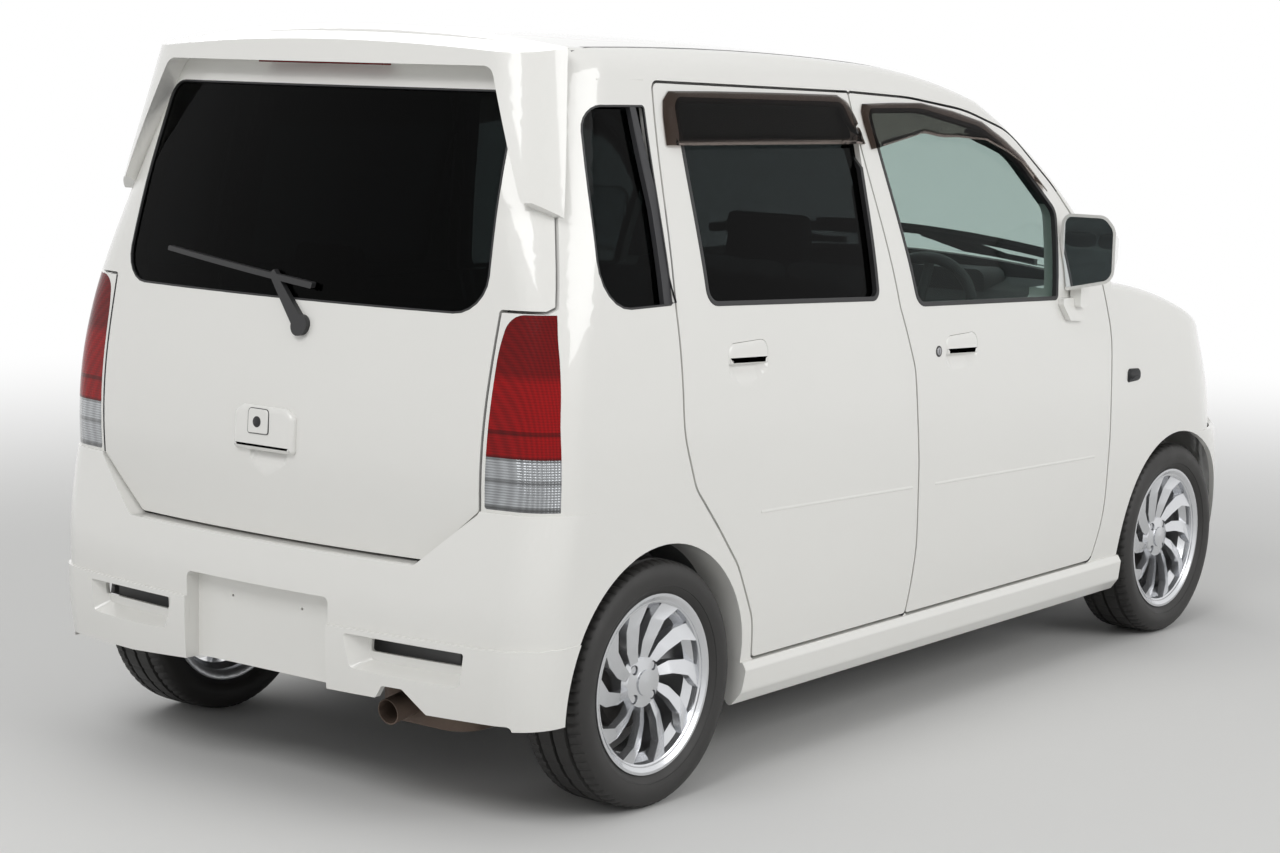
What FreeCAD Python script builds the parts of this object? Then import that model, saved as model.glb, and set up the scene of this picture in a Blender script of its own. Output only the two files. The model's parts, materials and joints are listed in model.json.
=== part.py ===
import FreeCAD, Part
import math
import os

# A tall five-door kei car, right-hand drive, in mm.
# X runs forward, Y to the left and Z up. The origin is on the ground under the middle of the car.
# Stations along the car are measured from the rear axle, rear(x), or from the front axle, front(x).

V = FreeCAD.Vector

# Overall sizes
WHEELBASE = 2360.0
REAR_OVERHANG = 490.0
FRONT_OVERHANG = 545.0
BODY_WIDTH = 1475.0
CAR_HEIGHT = 1640.0
HUB_HEIGHT = 266.0
HALF_WIDTH = BODY_WIDTH / 2
REAR_AXLE_X = (REAR_OVERHANG - WHEELBASE - FRONT_OVERHANG) / 2
FRONT_AXLE_X = REAR_AXLE_X + WHEELBASE

# Walls and gaps
DOOR_WALL = 85.0        # thickness of a door and of the body side below the windows
FRAME_WALL = 42.0       # thickness of the window frames and pillars
ROOF_WALL = 34.0
REAR_WALL = 58.0        # thickness of the tailgate
GATE_SILL_STEP = 8.0    # how much thinner it is beside the glass
FENDER_WALL = 24.0
FENDER_INNER = 520.0    # where the fenders end towards the bonnet, from the middle
DOOR_FLANGE = 28.0      # thickness of the part of a door that laps over its frame
FLANGE_CLEARANCE = 6.0
HINGE_CLEARANCE = 16.0  # the same beside the hinges, where the flange swings in
DOOR_LAP = 24.0         # how far the inner part of a door stands in from its outline
FRAME_LAP = 11.0        # how far the frame's inner lip stands in from that outline
PILLAR_LAP = 3.0        # the same at the windscreen pillar, which the door passes as it swings
PANEL_GAP = 6.0
GLASS_THICKNESS = 5.0
GLASS_DEPTH = 14.0      # how far a side glass lies behind the outer skin
FIT = 0.3               # clearance of pieces that seat against each other
BELT_HEIGHT = 1010.0    # top of the thick lower half of the doors
SILL_HEIGHT = 268.0     # lower edge of the doors

# Outer skin: plan outlines at several heights. Each one is a rear bow, two rear corners,
# two straight sides, two front corners and a front bow.
REAR_BOW = 3500.0
FRONT_BOW = 1500.0
# columns: height, rear face behind the rear axle, how far the side is in from the widest place,
# rear corner radius, front face ahead of the front axle, front corner radius
BODY_LEVELS = (
    (150.0, 428.0, 37.5, 110.0, 490.0, 300.0),
    (300.0, 431.0, 15.5, 110.0, 490.0, 300.0),
    (555.0, 437.0, 2.0, 112.0, 490.0, 300.0),
    (720.0, 448.0, 0.0, 115.0, 452.0, 300.0),
    (880.0, 438.0, 2.5, 118.0, 380.0, 300.0),
    (1040.0, 407.0, 17.5, 130.0, 340.0, 290.0),
    (1300.0, 343.0, 74.5, 178.0, 240.0, 280.0),
    (1530.0, 266.0, 125.5, 162.0, 140.0, 260.0),
    (1575.0, 250.0, 137.5, 156.0, 120.0, 260.0),
    (1600.0, 241.0, 157.5, 150.0, 110.0, 260.0),
    (1650.0, 222.0, 237.5, 140.0, 90.0, 260.0),
)
# Roof, windscreen and bonnet: one line in the middle plane, turned about an axis far below
# the car, which gives all three their side-to-side crown.
CROWN_RADIUS = 4500.0
CROWN_SWEEP = 40.0
HEADER_X = -960.0       # top of the windscreen, from the front axle
HEADER_DROP = 110.0     # how far it lies below the roof's highest point
COWL_X = -395.0         # foot of the windscreen, from the front axle
COWL_HEIGHT = 1072.0
NOSE_X = 390.0
NOSE_HEIGHT = 800.0
EDGE_RADIUS = 25.0      # rounding where the roof, windscreen and bonnet meet the sides


def rear(x):
    return REAR_AXLE_X + x


def front(x):
    return FRONT_AXLE_X + x


def box(x0, x1, y0, y1, z0, z1):
    return Part.makeBox(x1 - x0, y1 - y0, z1 - z0, V(x0, y0, z0))


def rod(a, b, radius):
    way = b - a
    return Part.makeCylinder(radius, way.Length, a, way)


def across(x, y, z, radius, length):
    # cylinder along Y from y towards +Y
    return Part.makeCylinder(radius, length, V(x, y, z), V(0, 1, 0))


def mirrored(shape):
    return shape.mirror(V(0, 0, 0), V(0, 1, 0))


def fuse(shapes):
    first = shapes[0]
    return first.multiFuse(shapes[1:]) if len(shapes) > 1 else first


def grown(points, d):
    """The outline's corners after every edge moves outward by d."""
    n = len(points)
    area = sum(points[i][0] * points[(i + 1) % n][1] - points[(i + 1) % n][0] * points[i][1] for i in range(n))
    turn = 1.0 if area > 0 else -1.0
    out = []
    for i in range(n):
        (ax, ay, _), (bx, by, r), (cx, cy, _) = points[i - 1], points[i], points[(i + 1) % n]
        l1 = math.hypot(bx - ax, by - ay)
        l2 = math.hypot(cx - bx, cy - by)
        n1 = ((by - ay) / l1 * turn, -(bx - ax) / l1 * turn)
        n2 = ((cy - by) / l2 * turn, -(cx - bx) / l2 * turn)
        k = 1 + n1[0] * n2[0] + n1[1] * n2[1]
        cross = ((bx - ax) * (cy - by) - (by - ay) * (cx - bx)) * turn
        out.append((bx + (n1[0] + n2[0]) / k * d, by + (n1[1] + n2[1]) / k * d,
                    max(r + (d if cross > 0 else -d), 1.0)))
    return out


def outline(points):
    """A closed run of lines with tangent arcs at its corners, in the XY plane."""
    n = len(points)
    ends = []
    for i in range(n):
        a = V(points[i - 1][0], points[i - 1][1], 0)
        b = V(points[i][0], points[i][1], 0)
        c = V(points[(i + 1) % n][0], points[(i + 1) % n][1], 0)
        u = (a - b).normalize()
        w = (c - b).normalize()
        half = u.getAngle(w) / 2
        room = 0.48 * min((a - b).Length, (c - b).Length)
        tangent = min(points[i][2] / math.tan(half), room)
        radius = tangent * math.tan(half)
        middle = (u + w).normalize() * (radius / math.sin(half) - radius)
        ends.append((b + u * tangent, b + middle, b + w * tangent))
    edges = []
    for i in range(n):
        s, m, e = ends[i]
        edges.append(Part.Arc(s, m, e).toShape())
        edges.append(Part.LineSegment(e, ends[(i + 1) % n][0]).toShape())
    return Part.Wire(edges)


def side_prism(points, y0, y1):
    """An outline of (X, Z, radius) points, extruded from y0 to y1."""
    face = Part.Face(outline(points))
    face.rotate(V(0, 0, 0), V(1, 0, 0), 90)
    face.translate(V(0, y0, 0))
    return face.extrude(V(0, y1 - y0, 0))


def rear_prism(points, x0, x1):
    """An outline of (Y, Z, radius) points, extruded from x0 to x1."""
    face = Part.Face(outline(points))
    face.rotate(V(0, 0, 0), V(1, 1, 1), 120)
    face.translate(V(x0, 0, 0))
    return face.extrude(V(x1 - x0, 0, 0))


def plan_prism(points, z0, z1):
    """An outline of (X, Y, radius) points, extruded from z0 to z1."""
    face = Part.Face(outline(points))
    face.translate(V(0, 0, z0))
    return face.extrude(V(0, 0, z1 - z0))


def both(points):
    """The right half of an outline, given from one end to the other, with its mirror image."""
    return list(points) + [(-y, z, r) for y, z, r in reversed(points)]


def plan_outline(z, x_rear, half, r_rear, x_front, r_front, rear_bow=REAR_BOW, front_bow=FRONT_BOW):
    """Plan outline at height z: bows at both ends, straight sides and tangent corner arcs."""
    bow_r = V(x_rear + rear_bow, 0, z)
    bow_f = V(x_front - front_bow, 0, z)
    c_r = V(bow_r.x - math.sqrt((rear_bow - r_rear) ** 2 - (half - r_rear) ** 2), half - r_rear, z)
    c_f = V(bow_f.x + math.sqrt((front_bow - r_front) ** 2 - (half - r_front) ** 2), half - r_front, z)
    points = []
    for c, bow, r in ((c_r, bow_r, r_rear), (c_f, bow_f, r_front)):
        way = (c - bow).normalize()
        middle = (way + V(0, 1, 0)).normalize()
        points.append((c + way * r, c + middle * r, V(c.x, half, z)))
    (tr, mr, sr), (tf, mf, sf) = points

    def m(p):
        return V(p.x, -p.y, p.z)

    return Part.Wire([
        Part.Arc(m(tr), V(x_rear, 0, z), tr).toShape(),
        Part.Arc(tr, mr, sr).toShape(),
        Part.LineSegment(sr, sf).toShape(),
        Part.Arc(sf, mf, tf).toShape(),
        Part.Arc(tf, V(x_front, 0, z), m(tf)).toShape(),
        Part.Arc(m(tf), m(mf), m(sf)).toShape(),
        Part.LineSegment(m(sf), m(sr)).toShape(),
        Part.Arc(m(sr), m(mr), m(tr)).toShape(),
    ])


def crown_solid(lower):
    """Everything under the roof, windscreen and bonnet, lowered by the given wall."""
    def at(x, z):
        return V(x, 0, z - lower)
    header = at(front(HEADER_X), CAR_HEIGHT - HEADER_DROP)
    cowl = at(front(COWL_X), COWL_HEIGHT)
    nose = at(front(NOSE_X), NOSE_HEIGHT)
    roof_start = at(rear(-700), CAR_HEIGHT - 28)
    roof_end = at(front(HEADER_X - 500), CAR_HEIGHT - 26)
    chin = at(front(NOSE_X + 350), NOSE_HEIGHT - 240)
    edges = [
        Part.Arc(roof_start, at(rear(200), CAR_HEIGHT), roof_end).toShape(),
        Part.Arc(roof_end, at(front(HEADER_X - 220), CAR_HEIGHT - 60), header).toShape(),
        Part.Arc(header, (header + cowl) * 0.5 + V(12, 0, 55), cowl).toShape(),
        Part.Arc(cowl, at(front(NOSE_X - 350), COWL_HEIGHT - 100), nose).toShape(),
        Part.LineSegment(nose, chin).toShape(),
        Part.LineSegment(chin, V(chin.x, 0, 0)).toShape(),
        Part.LineSegment(V(chin.x, 0, 0), V(roof_start.x, 0, 0)).toShape(),
        Part.LineSegment(V(roof_start.x, 0, 0), roof_start).toShape(),
    ]
    axis = V(0, 0, CAR_HEIGHT - CROWN_RADIUS)
    face = Part.Face(Part.Wire(edges))
    face.rotate(axis, V(1, 0, 0), -CROWN_SWEEP / 2)
    return face.revolve(axis, V(1, 0, 0), CROWN_SWEEP)


def sides(side, ends):
    """The body's plan outlines lofted from bottom to top, in from the surface by the given walls."""
    wires = []
    for z, back, inset, r_rear, ahead, r_front in BODY_LEVELS:
        wires.append(plan_outline(
            z, rear(-back + ends), HALF_WIDTH - inset - side, max(r_rear - side, 30.0),
            front(ahead - ends), max(r_front - side, 60.0)))
    return Part.makeLoft(wires, True, False)


def skin(side=0.0, ends=0.0, lower=0.0):
    """The body's outer form, or the same form inside walls of the given thicknesses."""
    return sides(side, ends).common(crown_solid(lower))


def rounded_skin():
    """The outer form with the edges rounded where the crown meets the sides."""
    form = skin()
    edges = [e for e in form.Edges
             if e.Length > 150 and abs(e.CenterOfMass.y) > 200 and e.CenterOfMass.z > NOSE_HEIGHT - 50
             and e.BoundBox.ZLength < 0.8 * e.Length]
    return form.makeFillet(EDGE_RADIUS, edges)


NODES = {}


def keep(name, shape):
    NODES[name] = shape


# The body's forms that every panel is cut from
FAR = 3000.0            # half length of the blocks that divide the body
ROOF_SPLIT = 566.0      # half width of the roof panel
FLOOR_TOP = 280.0
FLOOR_SHEET = 22.0
REAR_FLOOR_TOP = 520.0
SILL_BOTTOM = 175.0
SILL_FACE = 690.0       # half width of the sill behind the side skirt
ARCH_RADIUS = 305.0
BULKHEAD_X = -372.0     # rear face of the bulkhead, from the front axle

outer = rounded_skin()
low_room = skin(DOOR_WALL, REAR_WALL, ROOF_WALL).common(box(-FAR, FAR, -FAR, FAR, 0, BELT_HEIGHT))
high_room = skin(FRAME_WALL, REAR_WALL - GATE_SILL_STEP, ROOF_WALL).common(
    box(-FAR, FAR, -FAR, FAR, BELT_HEIGHT - 1, FAR))


def walls(block):
    """What is left of a block of the outer form when the space inside the body is taken out."""
    return block.cut(low_room).cut(high_room)


right_shell = walls(outer.common(box(-FAR, FAR, -FAR, 0, 0, FAR)))
flange_back = skin(DOOR_FLANGE, REAR_WALL, ROOF_WALL)
flange_seat = skin(DOOR_FLANGE + FLANGE_CLEARANCE, REAR_WALL, ROOF_WALL)
hinge_seat = skin(DOOR_FLANGE + HINGE_CLEARANCE, REAR_WALL, ROOF_WALL)
REAR_HINGE_X = 968.0    # hinge line of the rear doors, from the rear axle
FRONT_HINGE_X = -442.0  # hinge line of the front doors, from the front axle

# Side openings as (X, Z, corner radius); the left side is their mirror image
B_GAP = ((818.0, 1508.0, 6.0), (905.0, 1012.0, 60.0), (962.0, 862.0, 120.0),
         (990.0, 640.0, 400.0), (998.0, 430.0, 400.0), (979.0, SILL_HEIGHT, 8.0))
REAR_DOOR = [(rear(x), z, r) for x, z, r in (
    (84.0, 1531.0, 14.0),) + B_GAP + (
    (349.0, SILL_HEIGHT, 10.0), (334.0, 360.0, 120.0), (268.0, 490.0, 200.0), (190.0, 584.0, 90.0),
    (104.0, 680.0, 90.0), (58.0, 800.0, 250.0), (47.0, 1075.0, 400.0))]
DOOR_FRONT = [(front(x), z, r) for x, z, r in (
    (-492.0, 1090.0, 150.0), (-423.0, 870.0, 350.0), (-409.0, 600.0, 500.0), (-417.0, 390.0, 400.0),
    (-457.0, SILL_HEIGHT, 25.0))]
FRONT_DOOR = [(rear(x + PANEL_GAP), z, r) for x, z, r in reversed(B_GAP)] + [
    (front(x), z, r) for x, z, r in (
        (-1280.0, 1494.0, 900.0), (-1030.0, 1463.0, 700.0), (-830.0, 1408.0, 250.0),
        (-660.0, 1271.0, 350.0))] + DOOR_FRONT
REAR_DOOR_GLASS = [(rear(x), z, r) for x, z, r in (
    (152.0, 1500.0, 24.0), (790.0, 1486.0, 34.0), (836.0, 1400.0, 60.0), (820.0, 1034.0, 26.0),
    (158.0, 1064.0, 36.0))]
FRONT_DOOR_GLASS = [(rear(895.0), 1471.0, 20.0), (front(-1230.0), 1470.0, 500.0), (front(-960.0), 1422.0, 300.0),
                    (front(-800.0), 1338.0, 200.0), (front(-662.0), 1208.0, 40.0), (front(-708.0), 984.0, 15.0),
                    (rear(985.0), 1010.0, 40.0)]
QUARTER_GLASS = [(rear(x), z, r) for x, z, r in (
    (-152.0, 1486.0, 60.0), (44.0, 1484.0, 8.0), (34.0, 1073.0, 8.0), (-208.0, 1073.0, 90.0))]

# Tailgate: seen from behind it is a T, as (Y, Z, corner radius); seen from the side it ends on a leaning line
GATE_BACK = both([(-427.0, 555.0, 15.0), (-563.0, 671.0, 14.0), (-571.0, 1078.0, 8.0),
                  (-HALF_WIDTH - 60, 1078.0, 5.0), (-HALF_WIDTH - 60, CAR_HEIGHT + 60, 5.0)])
GATE_LINE = ((-346.0, 300.0, 5.0), (-346.0, 1060.0, 5.0), (-303.0, 1087.0, 5.0), (-256.0, 1261.0, 300.0),
             (-198.0, 1497.0, 300.0), (-170.0, 1610.0, 60.0), (-166.0, CAR_HEIGHT + 60, 5.0))
GATE_SIDE = [(rear(x), z, r) for x, z, r in ((-700.0, CAR_HEIGHT + 60, 5.0), (-700.0, 300.0, 5.0)) + GATE_LINE]
REAR_GLASS = both([(-540.0, 1064.0, 72.0), (-508.0, 1512.0, 46.0)])


def gate_zone(gap):
    """The space of the tailgate, wider all round by gap."""
    back = rear_prism(grown(GATE_BACK, gap), rear(-REAR_OVERHANG - 60), rear(0))
    return back.common(side_prism(grown(GATE_SIDE, gap), -FAR / 3, FAR / 3))


# Windscreen and the space in front of it, as (X, Y, corner radius)
WINDSCREEN = [(front(HEADER_X + 12), -560.0, 40.0), (front(COWL_X + 2), -655.0, 25.0),
              (front(COWL_X + 2), 655.0, 25.0), (front(HEADER_X + 12), 560.0, 40.0)]
BONNET_REAR = COWL_X + 70.0
BONNET_FRONT = NOSE_X + 22.0
BONNET = [(front(BONNET_REAR), -612.0, 25.0), (front(NOSE_X - 250), -600.0, 600.0),
          (front(BONNET_FRONT), -540.0, 30.0), (front(BONNET_FRONT), 540.0, 30.0),
          (front(NOSE_X - 250), 600.0, 600.0), (front(BONNET_REAR), 612.0, 25.0)]
windscreen_space = plan_prism(WINDSCREEN, BELT_HEIGHT - 30, CAR_HEIGHT + 60)

# Bumper and lamp zones, as (X, Z, corner radius) seen from the side
REAR_BUMPER_SIDE = [(rear(x), z, r) for x, z, r in (
    (-600.0, 100.0, 5.0), (-600.0, 672.0, 5.0), (-347.0, 672.0, 5.0), (-225.0, 668.0, 60.0), (-165.0, 634.0, 60.0),
    (-100.0, 545.0, 5.0), (0.0, HUB_HEIGHT, 5.0), (0.0, 100.0, 5.0))]
LAMP_BACK = ((-577.0, 678.0, 6.0), (-583.0, 1000.0, 300.0), (-596.0, 1070.0, 44.0), (-800.0, 1072.0, 5.0),
             (-800.0, 678.0, 5.0))
LAMP_SIDE = [(rear(x), z, r) for x, z, r in (
    (-600.0, 600.0, 5.0), (-600.0, 1120.0, 5.0), (-294.0, 1120.0, 5.0), (-313.0, 1023.0, 300.0),
    (-332.0, 850.0, 400.0), (-332.0, 600.0, 5.0))]
LAMP_REACH = -280.0
FENDER_SIDE = [(x + PANEL_GAP, z, r) for x, z, r in DOOR_FRONT[1:]] + [
    (front(-451.0), 100.0, 5.0), (front(700.0), 100.0, 5.0), (front(700.0), 1100.0, 5.0),
    (front(-360.0), 1100.0, 5.0), (front(-484.0), 1096.0, 5.0)]
FRONT_BUMPER_SIDE = [(front(x), z, r) for x, z, r in (
    (60.0, 100.0, 5.0), (60.0, 558.0, 5.0), (330.0, 558.0, 40.0), (400.0, 602.0, 40.0), (700.0, 602.0, 5.0),
    (700.0, 100.0, 5.0))]

rear_arch = across(rear(0), -HALF_WIDTH - 40, HUB_HEIGHT, ARCH_RADIUS, HALF_WIDTH - 460)
front_arch = across(front(0), -HALF_WIDTH - 40, HUB_HEIGHT, ARCH_RADIUS, HALF_WIDTH - 360)
gate_gap = gate_zone(PANEL_GAP)


def door_hole(points, hinge_x):
    """The opening of the body side for a door: wide at the outside, with a lip behind the door's flange."""
    space = side_prism(grown(points, PANEL_GAP), -HALF_WIDTH - 40, 0)
    at_hinge = space.common(box(hinge_x - 30, hinge_x + 70, -HALF_WIDTH - 40, 0, 0, BELT_HEIGHT)).cut(hinge_seat)
    return fuse([space.cut(flange_seat), at_hinge, side_prism(grown(points, -FRAME_LAP), -HALF_WIDTH - 40, 0)])


pillar_way = side_prism(grown(FRONT_DOOR, -PILLAR_LAP), -HALF_WIDTH - 40, 0).common(
    box(front(-960), front(-600), -HALF_WIDTH - 40, 0, 1200, FAR))

# Body side: pillars, sill, roof rail, rear quarter with its window
side_space = box(rear(-REAR_OVERHANG), front(BULKHEAD_X - FIT), -HALF_WIDTH - 10, -ROOF_SPLIT, SILL_BOTTOM, FAR)
frame_side = right_shell.common(side_space)
frame_side = frame_side.cut(side_prism(FENDER_SIDE, -HALF_WIDTH - 10, 0).cut(skin(FENDER_WALL, 0, FENDER_WALL)))
for tool in (door_hole(REAR_DOOR, rear(REAR_HINGE_X)), door_hole(FRONT_DOOR, front(FRONT_HINGE_X)),
             pillar_way, gate_gap, windscreen_space, rear_arch,
             side_prism(QUARTER_GLASS, -HALF_WIDTH - 10, 0), side_prism(REAR_BUMPER_SIDE, -HALF_WIDTH - 10, 0),
             rear_prism(LAMP_BACK, rear(-600), rear(LAMP_REACH)).common(
                 side_prism(LAMP_SIDE, -HALF_WIDTH - 10, 0)),
             box(rear(0), front(0), -HALF_WIDTH - 10, -SILL_FACE, 0, SILL_HEIGHT - PANEL_GAP)):
    frame_side = frame_side.cut(tool)
keep("side_frame_right", frame_side)
keep("side_frame_left", mirrored(frame_side))

# Roof, with the header above the windscreen
roof = outer.common(box(rear(-300), front(HEADER_X + 60), -ROOF_SPLIT, ROOF_SPLIT, BELT_HEIGHT + 300, FAR))
HINGE_BLOCK = (370.0, 410.0)    # the tailgate's hinge blocks fill the gap behind the roof, under the skin
HINGE_DEPTH = 12.0
HINGE_THICKNESS = 20.0
block_space = box(rear(-190), rear(-150), HINGE_BLOCK[0], HINGE_BLOCK[1], BELT_HEIGHT + 300, FAR)
hinge_block = block_space.common(crown_solid(HINGE_DEPTH)).cut(crown_solid(HINGE_DEPTH + HINGE_THICKNESS))
hinge_block = hinge_block.cut(gate_zone(FIT))
roof = walls(roof).cut(gate_gap).cut(windscreen_space)
keep("roof_panel", fuse([roof, hinge_block, mirrored(hinge_block)]))


# Doors, as thick as the whole wall, and their glass
def layer(depth, thickness, zone):
    """A sheet that follows the body's side at the given depth, inside the zone."""
    return sides(depth, depth).common(zone).cut(sides(depth + thickness, depth + thickness))


def door(points, window):
    block = walls(outer.common(side_prism(points, -HALF_WIDTH - 10, -HALF_WIDTH / 2)))
    lap = flange_back.cut(side_prism(grown(points, -DOOR_LAP), -HALF_WIDTH - 10, 0))
    return block.cut(lap).cut(side_prism(window, -HALF_WIDTH - 10, 0))


def pane(points):
    return layer(GLASS_DEPTH, GLASS_THICKNESS, side_prism(grown(points, -FIT), -HALF_WIDTH - 10, -HALF_WIDTH / 2))


for place, points, window in (("rear", REAR_DOOR, REAR_DOOR_GLASS), ("front", FRONT_DOOR, FRONT_DOOR_GLASS)):
    leaf = door(points, window)
    glass = pane(window)
    keep("door_" + place + "_right", leaf)
    keep("door_" + place + "_left", mirrored(leaf))
    keep("door_glass_" + place + "_right", glass)
    keep("door_glass_" + place + "_left", mirrored(glass))

# Windscreen and quarter windows
screen_space = plan_prism(grown(WINDSCREEN, -FIT), BELT_HEIGHT - 30, CAR_HEIGHT + 60)
screen = skin(0, 0, 1.0).common(screen_space).cut(crown_solid(1.0 + GLASS_THICKNESS * 1.4))
screen = screen.cut(box(front(COWL_X + 1), FAR, -FAR, FAR, 0, FAR))
quarter = pane(QUARTER_GLASS)
keep("fixed_glass", Part.makeCompound([screen, quarter, mirrored(quarter)]))

# Tailgate with its glass
GATE_GLASS_DEPTH = 5.0
gate = walls(outer.common(gate_zone(0.0)))
gate = gate.cut(rear_prism(REAR_GLASS, rear(-700), rear(0)))
keep("tailgate", gate)
gate_pane = layer(GATE_GLASS_DEPTH, GLASS_THICKNESS, rear_prism(grown(REAR_GLASS, -FIT), rear(-700), rear(-200)))
keep("tailgate_glass", gate_pane)

# Spoiler: a hoop over the rear glass, a blade at the roof with a leg down each pillar
# columns: height, rear face behind the rear axle, how far the side is in from the widest place, corner radius
SPOILER_LEVELS = ((1250.0, 388.0, 56.0, 182.0), (1400.0, 352.0, 89.0, 172.0), (1545.0, 316.0, 124.0, 160.0),
                  (1660.0, 288.0, 150.0, 148.0))
SPOILER_TILT = 12.0
SPOILER_LIFT = 3.0
SPOILER_HOLE = both([(-640.0, 1100.0, 5.0), (-590.0, 1290.0, 20.0), (-478.0, 1562.0, 30.0)])
SPOILER_FOOT = [(rear(x), z, 5.0) for x, z in ((-500.0, 1300.0), (-300.0, 1291.0), (-240.0, 1252.0), (0.0, 1252.0),
                                               (0.0, 1100.0), (-500.0, 1100.0))]
wires = [plan_outline(z, rear(-back), HALF_WIDTH - inset, r, front(0), 260.0)
         for z, back, inset, r in SPOILER_LEVELS]
tilted = crown_solid(-SPOILER_LIFT)
tilted.rotate(V(rear(-180), 0, CAR_HEIGHT), V(0, 1, 0), -SPOILER_TILT)
spoiler = Part.makeLoft(wires, True, False).common(tilted).common(gate_zone(0.0)).cut(outer)
spoiler = spoiler.cut(rear_prism(SPOILER_HOLE, rear(-700), rear(0))).cut(side_prism(SPOILER_FOOT, -FAR, FAR))
keep("tailgate_spoiler", spoiler)
keep("stop_lamp", box(rear(-286), rear(-262), -185, 185, CAR_HEIGHT - 82, CAR_HEIGHT - 60).cut(gate).cut(spoiler))

# Bonnet, front fenders, headlamps and grille
BONNET_WALL = 26.0
LAMP_DEPTH = 50.0
HEADLAMP_FACE = [(-430.0, 606.0, 20.0), (-430.0, 800.0, 20.0), (-800.0, 800.0, 5.0), (-800.0, 606.0, 5.0)]
HEADLAMP_SIDE = [(front(x), z, r) for x, z, r in (
    (268.0, 606.0, 20.0), (216.0, 800.0, 20.0), (700.0, 800.0, 5.0), (700.0, 606.0, 5.0))]
GRILLE_FACE = [(-424.0, 602.3, 20.0), (-424.0, 800.0, 20.0), (424.0, 800.0, 20.0), (424.0, 602.3, 20.0)]
GRILLE_FRAME = 20.0
GRILLE_SLATS = (654.0, 688.0, 722.0)
BONNET_LIP = 24.0       # how far the bonnet's front face leans back below its edge, to clear the grille as it rises
LIP_HEIGHT = NOSE_HEIGHT - (BONNET_FRONT - NOSE_X) * 24.0 / 35.0
crown_axis = V(0, 0, CAR_HEIGHT - CROWN_RADIUS)
lip = Part.Face(Part.makePolygon([V(front(BONNET_FRONT + dx), 0, LIP_HEIGHT + dz) for dx, dz in (
    (0, 0), (-BONNET_LIP, -60), (60, -60), (60, 0), (0, 0))]))
lip.rotate(crown_axis, V(1, 0, 0), -CROWN_SWEEP / 2)
lip = lip.revolve(crown_axis, V(1, 0, 0), CROWN_SWEEP)
bonnet = outer.common(plan_prism(BONNET, NOSE_HEIGHT - 100, FAR / 2)).cut(crown_solid(BONNET_WALL)).cut(lip)
keep("bonnet", bonnet)
bonnet_space = plan_prism(grown(BONNET, PANEL_GAP), NOSE_HEIGHT - 200, FAR / 2).cut(
    crown_solid(BONNET_WALL + PANEL_GAP))

lamp_space = rear_prism(HEADLAMP_FACE, front(100), front(700)).common(side_prism(HEADLAMP_SIDE, -FAR, 0))
headlamp = outer.common(lamp_space).cut(skin(LAMP_DEPTH, LAMP_DEPTH, LAMP_DEPTH)).cut(bonnet_space)
keep("headlamps", Part.makeCompound([headlamp, mirrored(headlamp)]))

fender = outer.common(side_prism(FENDER_SIDE, -HALF_WIDTH - 10, -FENDER_INNER))
fender = fender.cut(skin(FENDER_WALL, FENDER_WALL, FENDER_WALL))
for tool in (bonnet_space, windscreen_space, front_arch, side_prism(FRONT_BUMPER_SIDE, -FAR, 0), lamp_space,
             box(-FAR, FAR, -FAR, 0, 0, SILL_HEIGHT - PANEL_GAP), box(front(400), FAR, -FAR, 0, 0, FAR)):
    fender = fender.cut(tool)
keep("front_fenders", Part.makeCompound([fender, mirrored(fender)]))

grille_block = outer.common(rear_prism(GRILLE_FACE, front(380), front(700))).cut(bonnet_space)
ring = grille_block.cut(rear_prism(grown(GRILLE_FACE, -GRILLE_FRAME), front(300), front(700)))
bars = [box(front(380), front(700), -424, 424, z, z + 12) for z in GRILLE_SLATS]
bars += [box(front(380), front(700), y - 5, y + 5, 610, 780) for y in (-280, -140, 0, 140, 280)]
slats = grille_block.common(sides(0, 8.0)).common(fuse(bars))
grille = ring.fuse(slats).cut(sides(0, 34.0))
keep("front_grille", max(grille.Solids, key=lambda solid: solid.Volume))

# Bumpers: hollow covers that follow their own outlines
BUMPER_WALL = 14.0
BUMPER_TOP = 672.0
# columns: height, rear face behind the rear axle, how far the side is in, corner radius
REAR_BUMPER_LOW = ((232.0, 482.0, 20.0, 118.0), (300.0, 489.0, 12.0, 120.0), (400.0, 490.0, 4.0, 122.0))
REAR_BUMPER_HIGH = ((400.0, 483.0, 7.0, 120.0), (470.0, 482.0, 4.0, 118.0), (560.0, 472.0, 1.0, 115.0),
                    (690.0, 447.0, 0.0, 114.0))
# columns: height, front face ahead of the front axle, how far the side is in, corner radius
FRONT_BUMPER_LEVELS = ((186.0, 520.0, 30.0, 250.0), (270.0, 541.0, 14.0, 265.0), (400.0, 545.0, 5.0, 270.0),
                       (500.0, 535.0, 2.0, 275.0), (602.0, 506.0, 1.0, 290.0))


def rear_cover(levels, wall):
    return Part.makeLoft([plan_outline(z, rear(-back + wall), HALF_WIDTH - inset - wall, r - wall, front(-wall), 200.0)
                          for z, back, inset, r in levels], True, False)


def front_cover(levels, wall):
    return Part.makeLoft([plan_outline(z, rear(wall), HALF_WIDTH - inset - wall, 100.0, front(ahead - wall), r - wall)
                          for z, ahead, inset, r in levels], True, False)


# The rear cover rises beside the tailgate and leaves room for the number plate, two scoops and the tail pipe
PLATE_RECESS = [(-214.0, 150.0, 5.0), (-214.0, 456.0, 14.0), (214.0, 456.0, 14.0), (214.0, 150.0, 5.0)]
PLATE_RECESS_DEPTH = 48.0
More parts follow.
